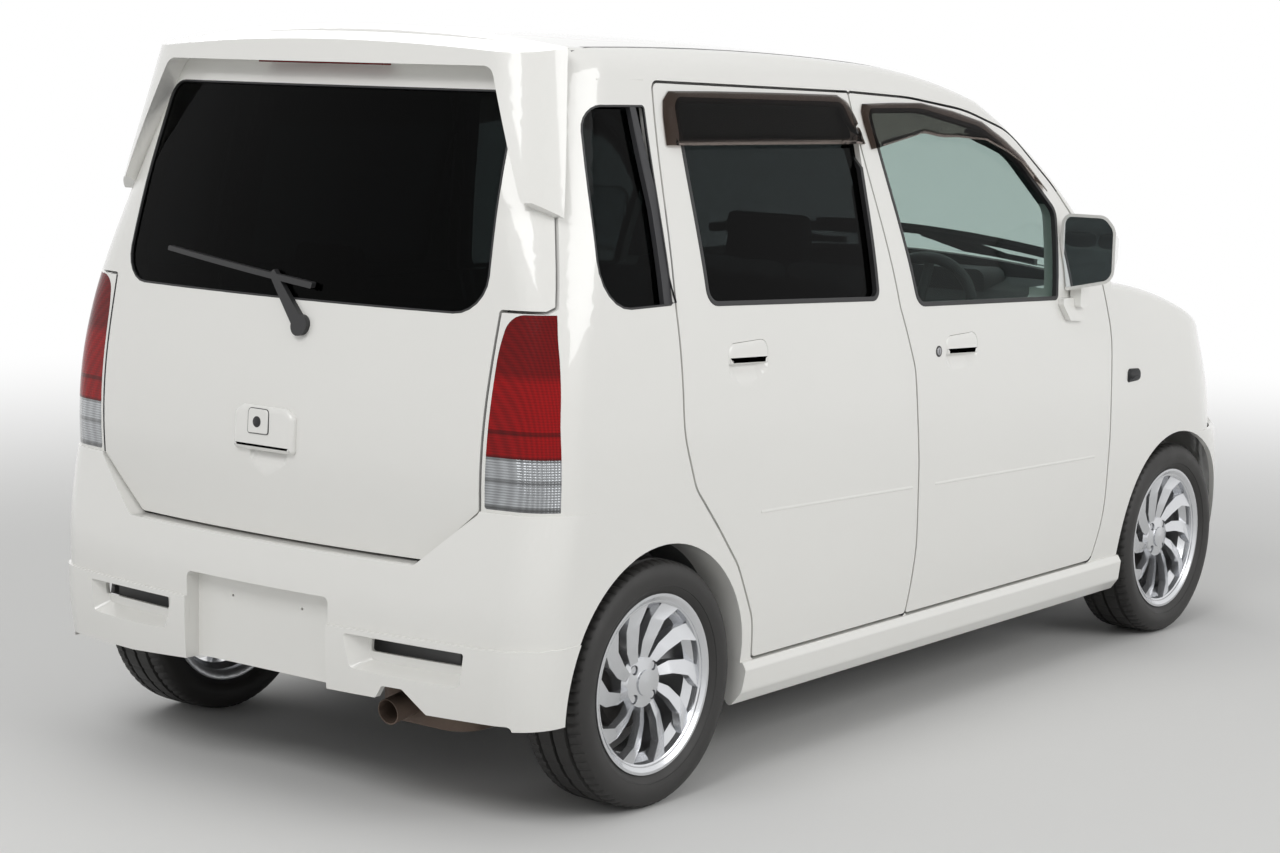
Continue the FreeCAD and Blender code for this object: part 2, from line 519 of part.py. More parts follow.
# Each scoop narrows from an outline just behind the cover to one inside it
SCOOP_MOUTH = [(-604.0, 394.0, 8.0), (-246.0, 391.0, 8.0), (-266.0, 310.0, 16.0), (-588.0, 278.0, 20.0)]
SCOOP_END = [(-530.0, 376.0, 4.0), (-345.0, 376.0, 4.0), (-346.0, 352.0, 4.0), (-524.0, 342.0, 4.0)]
SCOOP_MOUTH_X = -495.0
SCOOP_END_X = -400.0
SCOOP_DEPTH = 34.0
SLOT = [(-545.0, 375.0, 4.0), (-310.0, 378.0, 6.0), (-308.0, 351.0, 6.0), (-541.0, 349.0, 4.0)]
BOTTOM_EDGE = [(-672.0, 100.0, 5.0), (-664.0, 243.0, 10.0), (-470.0, 243.0, 4.0), (-413.0, 290.0, 10.0),
               (-362.0, 290.0, 10.0), (-344.0, 262.0, 6.0), (190.0, 262.0, 20.0), (408.0, 246.0, 60.0),
               (664.0, 243.0, 10.0), (672.0, 100.0, 5.0)]
PLATE_HOLES = 210.0     # distance between a number plate's two holes
PLATE_HOLE_RADIUS = 3.3
REAR_PLATE_Z = 410.0
FRONT_PLATE_Z = 470.0
LEDGE_FRONT = -404.0    # where the cover's ledge under the tailgate ends, from the rear axle
FLANK_START = 456.0     # half width from which the ledge rises beside the tailgate and reaches further
FLANK_FRONT = -372.0

bumper_zone = side_prism(REAR_BUMPER_SIDE, -FAR, FAR).cut(rear_arch).cut(mirrored(rear_arch))
hollow_back = grown(GATE_BACK, PANEL_GAP + BUMPER_WALL)
cover_low = rear_cover(REAR_BUMPER_LOW, 0).cut(rear_cover(REAR_BUMPER_LOW, BUMPER_WALL))
high_form = rear_cover(REAR_BUMPER_HIGH, 0)
high_hollow = rear_cover(REAR_BUMPER_HIGH, BUMPER_WALL).common(
    box(-FAR, FAR, -FAR, FAR, 0, BUMPER_TOP - BUMPER_WALL)).cut(rear_prism(hollow_back, rear(-700), rear(0)))
cover_high = high_form.cut(high_hollow)
rear_cover_all = cover_low.common(bumper_zone).fuse(cover_high.common(bumper_zone))
gate_way = rear_prism(grown(GATE_BACK, PANEL_GAP), rear(-700), rear(-200))
rear_cover_all = rear_cover_all.cut(gate_way).cut(
    box(rear(LEDGE_FRONT), rear(200), -FLANK_START, FLANK_START, 0, FAR)).cut(
    box(rear(FLANK_FRONT), rear(200), -571, 571, 0, FAR))
plate_pocket = rear_prism(grown(PLATE_RECESS, BUMPER_WALL), rear(-470),
                          rear(-REAR_OVERHANG + PLATE_RECESS_DEPTH + BUMPER_WALL))


def scoop_space(wall):
    """The tapered space of the right scoop, larger by a wall."""
    wires = [outline(grown(SCOOP_MOUTH, wall)), outline(grown(SCOOP_END, wall))]
    for wire, x in zip(wires, (SCOOP_MOUTH_X, SCOOP_END_X)):
        wire.rotate(V(0, 0, 0), V(1, 1, 1), 120)
        wire.translate(V(rear(x), 0, 0))
    return Part.makeLoft(wires, True, True)


pocket = rear_cover(REAR_BUMPER_LOW, 4).common(scoop_space(8.0)).cut(rear_cover(REAR_BUMPER_LOW, SCOOP_DEPTH + 8))
scoop = scoop_space(0.0).cut(rear_cover(REAR_BUMPER_LOW, SCOOP_DEPTH))
slot = rear_prism(SLOT, rear(-700), rear(-300))
rear_cover_all = fuse([rear_cover_all, plate_pocket.common(high_form.fuse(rear_cover(REAR_BUMPER_LOW, 0))),
                       pocket, mirrored(pocket)])
for tool in (scoop, mirrored(scoop), slot, mirrored(slot),
             rear_prism(PLATE_RECESS, rear(-700), rear(-REAR_OVERHANG + PLATE_RECESS_DEPTH)),
             rear_prism(BOTTOM_EDGE, rear(-700), rear(-300))):
    rear_cover_all = rear_cover_all.cut(tool)
for y in (-PLATE_HOLES / 2, PLATE_HOLES / 2):
    rear_cover_all = rear_cover_all.cut(rod(V(rear(-480), y, REAR_PLATE_Z), V(rear(-400), y, REAR_PLATE_Z), PLATE_HOLE_RADIUS))
keep("rear_bumper", rear_cover_all)

# Front cover with its lower opening and two fog lamp bowls
LOWER_OPENING = both([(-335.0, 235.0, 20.0), (-360.0, 350.0, 24.0)])
FOG_Y = 520.0
FOG_Z = 300.0
FOG_RADIUS = 46.0
front_form = front_cover(FRONT_BUMPER_LEVELS, 0)
front_hollow = front_cover(FRONT_BUMPER_LEVELS, BUMPER_WALL).common(box(-FAR, FAR, -FAR, FAR, 0, 602 - BUMPER_WALL))
front_hollow = front_hollow.fuse(front_cover(FRONT_BUMPER_LEVELS, 70.0))
cover = front_form.cut(front_hollow).common(side_prism(FRONT_BUMPER_SIDE, -FAR, FAR))
cover = cover.cut(front_arch).cut(mirrored(front_arch))
cover = cover.cut(rear_prism(LOWER_OPENING, front(300), front(700)))
for side in (1, -1):
    bowl = Part.makeCylinder(FOG_RADIUS, 300, V(front(400), side * FOG_Y, FOG_Z), V(1, 0, 0))
    cover = cover.cut(bowl.cut(front_cover(FRONT_BUMPER_LEVELS, BUMPER_WALL - 5)))
for y in (-PLATE_HOLES / 2, PLATE_HOLES / 2):
    cover = cover.cut(rod(V(front(480), y, FRONT_PLATE_Z), V(front(600), y, FRONT_PLATE_Z), PLATE_HOLE_RADIUS))
keep("front_bumper", cover)

# Tail lamps at the corners
lamp_block = outer.common(rear_prism(LAMP_BACK, rear(-600), rear(LAMP_REACH))).common(
    side_prism(grown(LAMP_SIDE, -FIT), -HALF_WIDTH - 10, 0))
tail_lamp = lamp_block.cut(skin(LAMP_DEPTH, LAMP_DEPTH, 0)).cut(box(-FAR, FAR, -FAR, 0, 0, BUMPER_TOP + 4))
keep("tail_lamps", Part.makeCompound([tail_lamp, mirrored(tail_lamp)]))

# Side skirts under the doors
SKIRT_START = 253.0     # from the rear axle
SKIRT_END = -308.0      # from the front axle
SKIRT_BOTTOM = 163.0
skirt_section = [(-SILL_FACE, SKIRT_BOTTOM + 8, 4.0), (-SILL_FACE, SILL_HEIGHT - PANEL_GAP, 2.0),
                 (-HALF_WIDTH + 14, SILL_HEIGHT - PANEL_GAP, 6.0), (-HALF_WIDTH + 4, 246.0, 10.0),
                 (-HALF_WIDTH + 10, 196.0, 20.0), (-HALF_WIDTH + 34, SKIRT_BOTTOM, 10.0)]
skirt = rear_prism(skirt_section, rear(SKIRT_START), front(SKIRT_END)).cut(rear_arch).cut(front_arch)
keep("side_skirts", Part.makeCompound([skirt, mirrored(skirt)]))

# Floor: a low front part, a step and a high rear part, with cups over the rear wheels
CUP_WALL = 12.0
CUP_INNER = 530.0       # inner face of the rear wheel cups
AXLE_SLOT = 62.0        # half width of the slot that the axle's ends pass through
STEP_X = 430.0          # foot of the floor's step, from the rear axle
BOARD_STEP = 3.0        # the load floor stands this much above the seat's floor
REAR_PANEL_X = -402.0   # rear face of the panel behind the rear cover
floor_line = [(front(BULKHEAD_X - 20), FLOOR_TOP - FLOOR_SHEET, 2.0), (front(BULKHEAD_X - 20), FLOOR_TOP, 2.0),
              (rear(STEP_X), FLOOR_TOP, 20.0), (rear(STEP_X - 110), REAR_FLOOR_TOP, 20.0),
              (rear(-378), REAR_FLOOR_TOP, 2.0), (rear(-378), REAR_FLOOR_TOP - FLOOR_SHEET, 2.0),
              (rear(STEP_X - 130), REAR_FLOOR_TOP - FLOOR_SHEET, 20.0), (rear(STEP_X - 20), FLOOR_TOP - FLOOR_SHEET, 20.0)]
cup = across(rear(0), -FAR / 3, HUB_HEIGHT, ARCH_RADIUS + CUP_WALL, FAR / 3 - CUP_INNER).cut(
    across(rear(0), -FAR / 3, HUB_HEIGHT, ARCH_RADIUS, FAR / 3 - CUP_INNER - CUP_WALL)).cut(
    box(-FAR, FAR, -FAR, FAR, 0, FLOOR_TOP - FLOOR_SHEET)).cut(
    box(rear(-AXLE_SLOT), rear(AXLE_SLOT), -CUP_INNER - 60, -CUP_INNER + 60, 0, HUB_HEIGHT + AXLE_SLOT + 10))
wheel_space = across(rear(0), -FAR / 3, HUB_HEIGHT, ARCH_RADIUS, FAR / 3 - CUP_INNER - CUP_WALL)
floor = side_prism(floor_line, -FAR / 3, FAR / 3)
for s in (wheel_space, mirrored(wheel_space)):
    floor = floor.cut(s)
rail_rear = box(rear(REAR_PANEL_X), rear(STEP_X - 125), -470, -400, REAR_FLOOR_TOP - FLOOR_SHEET - 70, REAR_FLOOR_TOP - 2)
rail_front = box(rear(STEP_X - 60), front(BULKHEAD_X - 20), -420, -350, 190, FLOOR_TOP - 2)
rail_link = side_prism([(rear(STEP_X - 90), 190.0, 10.0), (rear(STEP_X - 30), 190.0, 10.0),
                        (rear(STEP_X - 30), 300.0, 5.0), (rear(STEP_X - 90), 430.0, 5.0)], -470, -350)
end_panel = box(rear(REAR_PANEL_X), rear(REAR_PANEL_X + 20), -520, 520, 300, GATE_BACK[0][1] - PANEL_GAP)
end_return = box(rear(REAR_PANEL_X), rear(-360), -520, 520, REAR_FLOOR_TOP - FLOOR_SHEET, REAR_FLOOR_TOP)
floor = fuse([floor, cup, mirrored(cup), rail_rear, mirrored(rail_rear), rail_front, mirrored(rail_front),
              rail_link, mirrored(rail_link), end_return])
load_board = box(rear(-350), rear(0), -490, 490, REAR_FLOOR_TOP - 2, REAR_FLOOR_TOP + BOARD_STEP)
floor = floor.common(sides(DOOR_WALL + FIT, 4.0)).fuse(end_panel).fuse(load_board)
keep("floor_pan", floor)

# Bulkhead with the cowl in front of the windscreen
COWL_DEPTH = 12.0
bulkhead = box(front(BULKHEAD_X), front(BULKHEAD_X + 20), -HALF_WIDTH, HALF_WIDTH, FLOOR_TOP - FLOOR_SHEET, FAR)
COWL_HALF = FENDER_INNER - FIT
cowl = box(front(COWL_X + 4), front(BONNET_REAR - PANEL_GAP), -COWL_HALF, COWL_HALF, 900, FAR)
cowl = cowl.cut(crown_solid(COWL_DEPTH + 16))
cowl_front = box(front(BONNET_REAR - PANEL_GAP - 14), front(BONNET_REAR - PANEL_GAP), -COWL_HALF, COWL_HALF, 950, FAR)
cowl = cowl.fuse(cowl_front).common(skin(DOOR_WALL + FIT, 0, COWL_DEPTH))
bulkhead = bulkhead.common(skin(DOOR_WALL + FIT, 0, FENDER_WALL + FIT)).fuse(cowl)
# Two lugs carry the bonnet at its hinge
LUG = (485.0, 515.0)
lug_foot = box(front(BONNET_REAR - PANEL_GAP - 5), front(BONNET_REAR + 16), LUG[0], LUG[1], 975, 1008)
lug_head = box(front(BONNET_REAR + 4), front(BONNET_REAR + 16), LUG[0], LUG[1], 975, FAR)
lug = lug_foot.fuse(lug_head).common(crown_solid(BONNET_WALL + FIT))
bulkhead = fuse([bulkhead, lug, mirrored(lug)])
keep("bulkhead", bulkhead)

# Front rails, wheel aprons with strut towers, lamp carrier, lower arms and cross member
STEER_TOP_Y = 512.0
STEER_TOP_Z = 716.0
BALL_Y = 600.0
BALL_Z = 165.0
BALL_RADIUS = 14.0
rail = box(front(BULKHEAD_X + 20 + FIT), front(470), -400, -335, 300, 390)
apron = box(front(-190), front(190), -410, -398, 390, STEER_TOP_Z + 12)
upper_rail = box(front(BULKHEAD_X + 20 + FIT), front(250), -610, -580, 690, STEER_TOP_Z + 12)
tower_link = box(front(-190), front(190), -600, -398, STEER_TOP_Z, STEER_TOP_Z + 12)
top_hole = Part.makeCylinder(24, 100, V(front(0), -STEER_TOP_Y, STEER_TOP_Z - 30))
CARRIER_TOP = 602.0 - BUMPER_WALL - FIT      # right under the front cover's lid
carrier = fuse([box(front(400), front(424), -570, 570, 548, CARRIER_TOP),
                box(front(400), front(424), -570, 570, 300, 340),
                box(front(400), front(424), -570, -540, 300, CARRIER_TOP),
                box(front(400), front(424), 540, 570, 300, CARRIER_TOP),
                box(front(400), front(424), -30, 30, 300, CARRIER_TOP)])
cross_member = box(front(-110), front(-40), -400, 400, 172, 222)
hangers = box(front(-110), front(-40), -400, -340, 172, 302)


def lower_arm():
    points = [(front(-130), -330.0, 20.0), (front(-25), -BALL_Y + 30, 10.0), (front(-22), -BALL_Y - 22, 20.0),
              (front(22), -BALL_Y - 22, 20.0), (front(25), -BALL_Y + 30, 10.0), (front(60), -330.0, 20.0)]
    return plan_prism(points, BALL_Z - 34, BALL_Z - BALL_RADIUS - FIT)


frame_right = fuse([rail, apron, tower_link, upper_rail, hangers, lower_arm(),
                    box(front(-110), front(40), -400, -330, BALL_Z - 34, 200)]).cut(top_hole)
radiator = box(front(404), front(420), -545, -25, 335, 565)
front_frame = fuse([frame_right, mirrored(frame_right), carrier, cross_member, radiator, mirrored(radiator)])
keep("front_frame", front_frame.common(sides(10.0, 6.0)))

# Power unit as one plain block, with its drive shafts
ENGINE = (-300.0, 340.0)
ENGINE_HALF = 325.0
ENGINE_BOTTOM = 232.0
ENGINE_TOP = 730.0
SHAFT_RADIUS = 13.0
JOINT_RADIUS = 40.0
STEER_LEAN = (BALL_Y - STEER_TOP_Y) / (STEER_TOP_Z - BALL_Z)
WHEEL_Y = 643.0
AXIS_Y = BALL_Y - (HUB_HEIGHT - BALL_Z) * STEER_LEAN     # where the steering axis crosses the hub's height
engine = box(front(ENGINE[0]), front(ENGINE[1]), -ENGINE_HALF, ENGINE_HALF, ENGINE_BOTTOM, ENGINE_TOP)
shafts = across(front(0), -(AXIS_Y - JOINT_RADIUS - FIT), HUB_HEIGHT, SHAFT_RADIUS, 2 * (AXIS_Y - JOINT_RADIUS - FIT))
keep("powertrain", engine.fuse(shafts))

# Exhaust: tail pipe, silencer and a pipe to the engine; the tank lies beside it
PIPE_RADIUS = 20.0
PIPE_LOW = 205.0        # height of the pipe under the rear axle
TAIL_PIPE_Y = -347.0
TAIL_PIPE_Z = 225.0
TAIL_PIPE_RADIUS = 28.0
route = (V(rear(-170), -300, 232), V(rear(-70), -260, PIPE_LOW), V(rear(420), -260, PIPE_LOW),
         V(rear(560), -100, 222), V(front(-250), -100, 205), V(front(-250), -100, ENGINE_BOTTOM - FIT))
pipe = [rod(a, b, PIPE_RADIUS) for a, b in zip(route, route[1:])]
pipe += [Part.makeSphere(PIPE_RADIUS, p) for p in route[1:-1]]
silencer = plan_prism([(rear(-365), -500.0, 60.0), (rear(-365), -240.0, 60.0), (rear(-165), -240.0, 60.0),
                       (rear(-165), -500.0, 60.0)], 190, 320)
tail_pipe = rod(V(rear(-433), TAIL_PIPE_Y, TAIL_PIPE_Z), V(rear(-330), TAIL_PIPE_Y, TAIL_PIPE_Z + 16),
                TAIL_PIPE_RADIUS)
tail_bore = rod(V(rear(-440), TAIL_PIPE_Y, TAIL_PIPE_Z), V(rear(-375), TAIL_PIPE_Y, TAIL_PIPE_Z + 9),
                TAIL_PIPE_RADIUS - 2)
exhaust_hangers = [box(rear(x), rear(x + 12), -462, -410, 310, REAR_FLOOR_TOP - FLOOR_SHEET - 70 - FIT)
                   for x in (-330, -220)]
keep("exhaust", fuse(pipe + [silencer, tail_pipe] + exhaust_hangers).cut(tail_bore))
tank = plan_prism([(rear(460), -30.0, 40.0), (rear(460), 340.0, 40.0), (rear(1000), 340.0, 40.0),
                   (rear(1000), -30.0, 40.0)], 165, FLOOR_TOP - FLOOR_SHEET - FIT)
keep("fuel_tank", tank.makeFillet(18.0, [e for e in tank.Edges if e.CenterOfMass.z < 170]))

# Rear axle: a twist beam with trailing arms, springs and dampers
HUB_FACE = 12.0         # how far the hub's back lies inside the wheel's middle plane
SPINDLE_RADIUS = 20.0
SPINDLE_END = 36.0      # how far the spindle reaches outside that plane
BEAM_RADIUS = 28.0
ARM_Y = 440.0
ARM_TOP = 292.0
SPRING_X = 75.0
beam = across(rear(0), -530, HUB_HEIGHT, BEAM_RADIUS, 1060)
arms = []
for side in (-1, 1):
    arm = side_prism([(rear(-48), HUB_HEIGHT, 20.0), (rear(-20), 226.0, 20.0), (rear(STEP_X - 90 - FIT), 262.0, 10.0),
                      (rear(STEP_X - 90 - FIT), 300.0, 10.0), (rear(SPRING_X + 60), ARM_TOP, 10.0),
                      (rear(SPRING_X - 60), ARM_TOP, 10.0)], side * ARM_Y - 32, side * ARM_Y + 32)
    stub = across(rear(0), side * (WHEEL_Y + SPINDLE_END) if side < 0 else WHEEL_Y - HUB_FACE - 20, HUB_HEIGHT,
                  SPINDLE_RADIUS, SPINDLE_END + HUB_FACE + 20)
    flange = across(rear(0), -(WHEEL_Y - HUB_FACE - 6) if side < 0 else 526, HUB_HEIGHT, 40,
                    WHEEL_Y - HUB_FACE - 6 - 526)
    arms += [arm, stub, flange]
keep("rear_axle", fuse([beam] + arms))


def bellows(a, b, radius, groove, turns):
    """A spring or boot as a turned shape with grooves, from a to b."""
    way = b - a
    step = way.Length / turns
    points = [V(0, 0, 0)]
    for i in range(turns):
        points += [V(radius, 0, i * step), V(radius, 0, (i + 0.6) * step), V(radius - groove, 0, (i + 0.8) * step)]
    points += [V(radius, 0, way.Length), V(0, 0, way.Length), V(0, 0, 0)]
    form = Part.Face(Part.makePolygon(points)).revolve(V(0, 0, 0), V(0, 0, 1), 360)
    form.Placement = FreeCAD.Placement(a, FreeCAD.Rotation(V(0, 0, 1), way))
    return form


springs = []
for side in (-1, 1):
    springs.append(bellows(V(rear(SPRING_X), side * ARM_Y, ARM_TOP + FIT),
                           V(rear(SPRING_X), side * ARM_Y, REAR_FLOOR_TOP - FLOOR_SHEET - 70 - FIT), 46, 9, 6))
    springs.append(rod(V(rear(-60), side * 496, 250), V(rear(-90), side * 496, REAR_FLOOR_TOP - FLOOR_SHEET - FIT - 2),
                       19).fuse(rod(V(rear(-36), side * 496, 262), V(rear(-62), side * 496, 262), 12)))
keep("springs_dampers", Part.makeCompound(springs).cut(beam))


# Wheels: tyre, and a cast rim with ten curved, twisted blades; every rim is turned, none is mirrored
TYRE_RADIUS = 267.0
TYRE_HALF = 82.5
BEAD_RADIUS = 177.8
FLANGE_RADIUS = 195.0
WELL_RADIUS = 158.0
RIM_HALF = 69.0
RIM_WALL = 6.0
HUB_RADIUS = 62.0
HUB_TOP = 40.0
LUG_CIRCLE = 50.0
LUGS = 4
BLADES = 10
# columns: radius, angle of the leading edge, angle of the trailing edge (degrees, clockwise),
# how far the leading and the trailing edge stand outside the wheel's middle plane
BLADE_SECTIONS = ((54.0, -9.0, 11.0, 36.0, 42.0), (92.0, -3.0, 14.5, 40.0, 50.0), (138.0, 6.0, 20.5, 46.0, 56.0),
                  (175.5, 15.0, 31.5, 52.0, 60.0))
BLADE_DEPTH = 20.0
DISC_RADIUS = 115.0
DRUM_RADIUS = 108.0
DRUM_DEPTH = 46.0


def turned(points):
    """A closed ring from (distance outside the middle plane, radius) points, turned about the wheel's axis."""
    wire = Part.makePolygon([V(0, -t, r) for t, r in points + points[:1]])
    return Part.Face(wire).revolve(V(0, 0, 0), V(0, 1, 0), 360)


def blade():
    wires = []
    for r, lead, trail, t_lead, t_trail in BLADE_SECTIONS:
        a = math.radians(lead)
        b = math.radians(trail)
        corners = [V(r * math.sin(a), -t_lead, r * math.cos(a)), V(r * math.sin(b), -t_trail, r * math.cos(b)),
                   V(r * math.sin(b), -t_trail + BLADE_DEPTH, r * math.cos(b)),
                   V(r * math.sin(a), -t_lead + BLADE_DEPTH, r * math.cos(a))]
        wires.append(Part.makePolygon(corners + corners[:1]))
    return Part.makeLoft(wires, True, True)


def rim(brake):
    flange = RIM_HALF - RIM_WALL
    barrel = turned([(-RIM_HALF, FLANGE_RADIUS), (-flange, FLANGE_RADIUS), (-flange, BEAD_RADIUS - FIT),
                     (-flange + 14, BEAD_RADIUS - FIT), (-flange + 28, WELL_RADIUS + RIM_WALL),
                     (flange - 34, WELL_RADIUS + RIM_WALL), (flange - 18, BEAD_RADIUS - FIT),
                     (flange, BEAD_RADIUS - FIT), (flange, FLANGE_RADIUS), (RIM_HALF, FLANGE_RADIUS),
                     (RIM_HALF, FLANGE_RADIUS - RIM_WALL), (flange - 4, BEAD_RADIUS - 4),
                     (flange - 18, BEAD_RADIUS - RIM_WALL), (flange - 34, WELL_RADIUS),
                     (-flange + 28, WELL_RADIUS), (-flange + 14, BEAD_RADIUS - RIM_WALL),
                     (-flange, BEAD_RADIUS - RIM_WALL), (-RIM_HALF, FLANGE_RADIUS - RIM_WALL)])
    hub = turned([(-HUB_FACE, 0.0), (-HUB_FACE, HUB_RADIUS), (HUB_TOP - 12, HUB_RADIUS), (HUB_TOP, HUB_RADIUS - 8),
                  (HUB_TOP + 4, 28.0), (HUB_TOP + 8, 27.0), (HUB_TOP + 11, 0.0)])
    blades = []
    for i in range(BLADES):
        one = blade()
        one.rotate(V(0, 0, 0), V(0, 1, 0), i * 360.0 / BLADES)
        blades.append(one)
    body = fuse([barrel, hub, brake] + blades)
    for i in range(LUGS):
        a = math.radians(45 + i * 360.0 / LUGS)
        x = LUG_CIRCLE * math.sin(a) * 0.9
        z = LUG_CIRCLE * math.cos(a) * 0.9
        body = body.cut(Part.makeCylinder(10.5, 40, V(x, -HUB_TOP + 16, z), V(0, -1, 0)))
        body = body.fuse(Part.makeCylinder(8.0, 16, V(x, -HUB_TOP + 18, z), V(0, -1, 0)))
    return body.cut(Part.makeCylinder(SPINDLE_RADIUS + FIT, SPINDLE_END + HUB_FACE + 1, V(0, HUB_FACE, 0), V(0, -1, 0)))


disc = turned([(-10.0, 0.0), (-10.0, DISC_RADIUS), (-2.0, DISC_RADIUS), (-2.0, 0.0)])
drum = turned([(-DRUM_DEPTH, DRUM_RADIUS), (-DRUM_DEPTH, DRUM_RADIUS - 12), (-HUB_FACE, DRUM_RADIUS - 14),
               (-HUB_FACE, 0.0), (0.0, 0.0), (0.0, DRUM_RADIUS - 8), (-8.0, DRUM_RADIUS)])
bead = RIM_HALF - RIM_WALL - FIT
tyre = turned([(-bead, BEAD_RADIUS), (-bead, FLANGE_RADIUS + 2), (-TYRE_HALF, 230.0), (-TYRE_HALF + 15, TYRE_RADIUS),
               (TYRE_HALF - 15, TYRE_RADIUS), (TYRE_HALF, 230.0), (bead, FLANGE_RADIUS + 2), (bead, BEAD_RADIUS)])
for place, x, brake in (("front", front(0), disc), ("rear", rear(0), drum)):
    cast = rim(brake)
    for side, turn in (("right", 0), ("left", 180)):
        for name, form in (("rim", cast), ("tyre", tyre)):
            piece = form.copy()
            piece.rotate(V(0, 0, 0), V(0, 0, 1), turn)
            piece.translate(V(x, -WHEEL_Y if side == "right" else WHEEL_Y, HUB_HEIGHT))
            keep(name + "_" + place + "_" + side, piece)

# Steered hub carriers with their struts, turned about a leaning axis from the ball joint to the tower
lean = V(0, STEER_LEAN, 1).normalize()
ball = V(front(0), -BALL_Y, BALL_Z)
top = V(front(0), -STEER_TOP_Y, STEER_TOP_Z)
centre = V(front(0), -AXIS_Y, HUB_HEIGHT)
strut_foot = V(front(0), -535, 335)
knuckle = fuse([
    Part.makeSphere(JOINT_RADIUS, centre),
    across(front(0), -(WHEEL_Y - HUB_FACE - 5), HUB_HEIGHT, 42, WHEEL_Y - HUB_FACE - 5 - AXIS_Y),
    across(front(0), -(WHEEL_Y + SPINDLE_END), HUB_HEIGHT, SPINDLE_RADIUS, SPINDLE_END + HUB_FACE + 10),
    rod(ball + lean * (BALL_RADIUS - 8), centre, 17),
    Part.makeSphere(BALL_RADIUS, ball),
    box(front(-32), front(32), -(AXIS_Y - 14), -(AXIS_Y - 38), HUB_HEIGHT + 20, 340),
    box(front(-26), front(26), -(AXIS_Y - 14), -520, 318, 346),
    rod(strut_foot - V(0, 0, 25), strut_foot + (top - strut_foot) * 0.96, 21),
    bellows(strut_foot + (top - strut_foot) * 0.57, strut_foot + (top - strut_foot) * 0.93, 50, 9, 6),
    rod(top - lean * 26, top - lean * 12, 40),
    rod(top - lean * 14, top + lean * 28, 8),
    side_prism([(front(-138), HUB_HEIGHT - 48, 16.0), (front(-138), HUB_HEIGHT + 48, 16.0),
                (front(-64), HUB_HEIGHT + 48, 16.0), (front(-20), HUB_HEIGHT, 16.0),
                (front(-64), HUB_HEIGHT - 48, 16.0)], -(WHEEL_Y - 16), -(WHEEL_Y - 44)),
])
keep("knuckle_right", knuckle)
keep("knuckle_left", mirrored(knuckle))

# Dashboard with the steering column, and the steering wheel
WHEEL_TILT = 24.0
STEERING_Y = -330.0
STEERING = V(front(-770), STEERING_Y, 905)
STEERING_RADIUS = 176.0
column = V(-math.cos(math.radians(WHEEL_TILT)), 0, math.sin(math.radians(WHEEL_TILT)))
dash_line = [(front(BULKHEAD_X - FIT), 640.0, 5.0), (front(BULKHEAD_X - FIT), 1000.0, 5.0),
             (front(-470), 1008.0, 60.0), (front(-600), 985.0, 40.0), (front(-660), 940.0, 40.0),
             (front(-640), 800.0, 60.0), (front(-560), 700.0, 60.0), (front(-500), 640.0, 30.0)]
dash = side_prism(dash_line, -640, 640).common(skin(DOOR_WALL + PANEL_GAP, 0, 40.0))
console = side_prism([(front(-560), FLOOR_TOP + FIT, 10.0), (front(-560), 720.0, 10.0), (front(-500), 720.0, 10.0),
                      (front(-480), FLOOR_TOP + FIT, 10.0)], -110, 110)
hood = rear_prism([(STEERING_Y - 120, 960.0, 10.0), (STEERING_Y - 120, 1036.0, 30.0),
                   (STEERING_Y + 120, 1036.0, 30.0), (STEERING_Y + 120, 960.0, 10.0)], front(-610), front(-500))
shroud = rod(STEERING - column * (34 + FIT), STEERING - column * 190, 34)
keep("dashboard", fuse([dash, console, hood, shroud]))
torus = Part.makeTorus(STEERING_RADIUS, 15.0, STEERING, column)
spokes = []
for angle in (0, 180, 270):
    reach = FreeCAD.Rotation(column, angle).multVec(V(0, 1, 0))
    spokes.append(rod(STEERING - column * 12, STEERING - column * 12 + reach * STEERING_RADIUS, 13))
pad = rod(STEERING - column * 34, STEERING + column * 4, 58)
keep("steering_wheel", fuse([torus, pad] + spokes))

# Seats: frames on the floor, and soft cushions, backs and headrests
CUSHION_TOP = 530.0
CUSHION_BOTTOM = 400.0
SEAT_Y = (-345.0, 345.0)
SEAT_HALF = 215.0
frames = []
soft = []
for y in SEAT_Y:
    for rail_y in (y - 170, y + 130):
        frames.append(box(rear(1030), rear(1470), rail_y, rail_y + 40, FLOOR_TOP + FIT, 330))
    frames.append(box(rear(1055), rear(1460), y - 190, y + 190, 330, CUSHION_BOTTOM - FIT))
    cushion = side_prism([(rear(1055), CUSHION_BOTTOM, 4.0), (rear(1055), CUSHION_TOP - 20, 30.0),
                          (rear(1440), CUSHION_TOP + 10, 50.0), (rear(1500), 470.0, 40.0),
                          (rear(1480), CUSHION_BOTTOM, 20.0)], y - SEAT_HALF, y + SEAT_HALF)
    back = side_prism([(rear(985), CUSHION_BOTTOM + 20, 20.0), (rear(870), 1060.0, 50.0), (rear(960), 1085.0, 40.0),
                       (rear(1055 - FIT), 700.0, 60.0), (rear(1055 - FIT), CUSHION_BOTTOM + 20, 4.0)],
                      y - SEAT_HALF + 5, y + SEAT_HALF - 5)
    head = side_prism([(rear(875), 1100.0, 30.0), (rear(850), 1225.0, 40.0), (rear(925), 1240.0, 40.0),
                       (rear(950), 1105.0, 30.0)], y - 120, y + 120)
    stems = [rod(V(rear(908), y + s * 50, 1060), V(rear(900), y + s * 50, 1130), 7) for s in (-1, 1)]
    soft.append(cushion)
    soft.append(fuse([back, head] + stems))
keep("seat_frames", Part.makeCompound([fuse(frames[i:i + 3]) for i in (0, 3)]))
keep("front_seats", Part.makeCompound(soft))
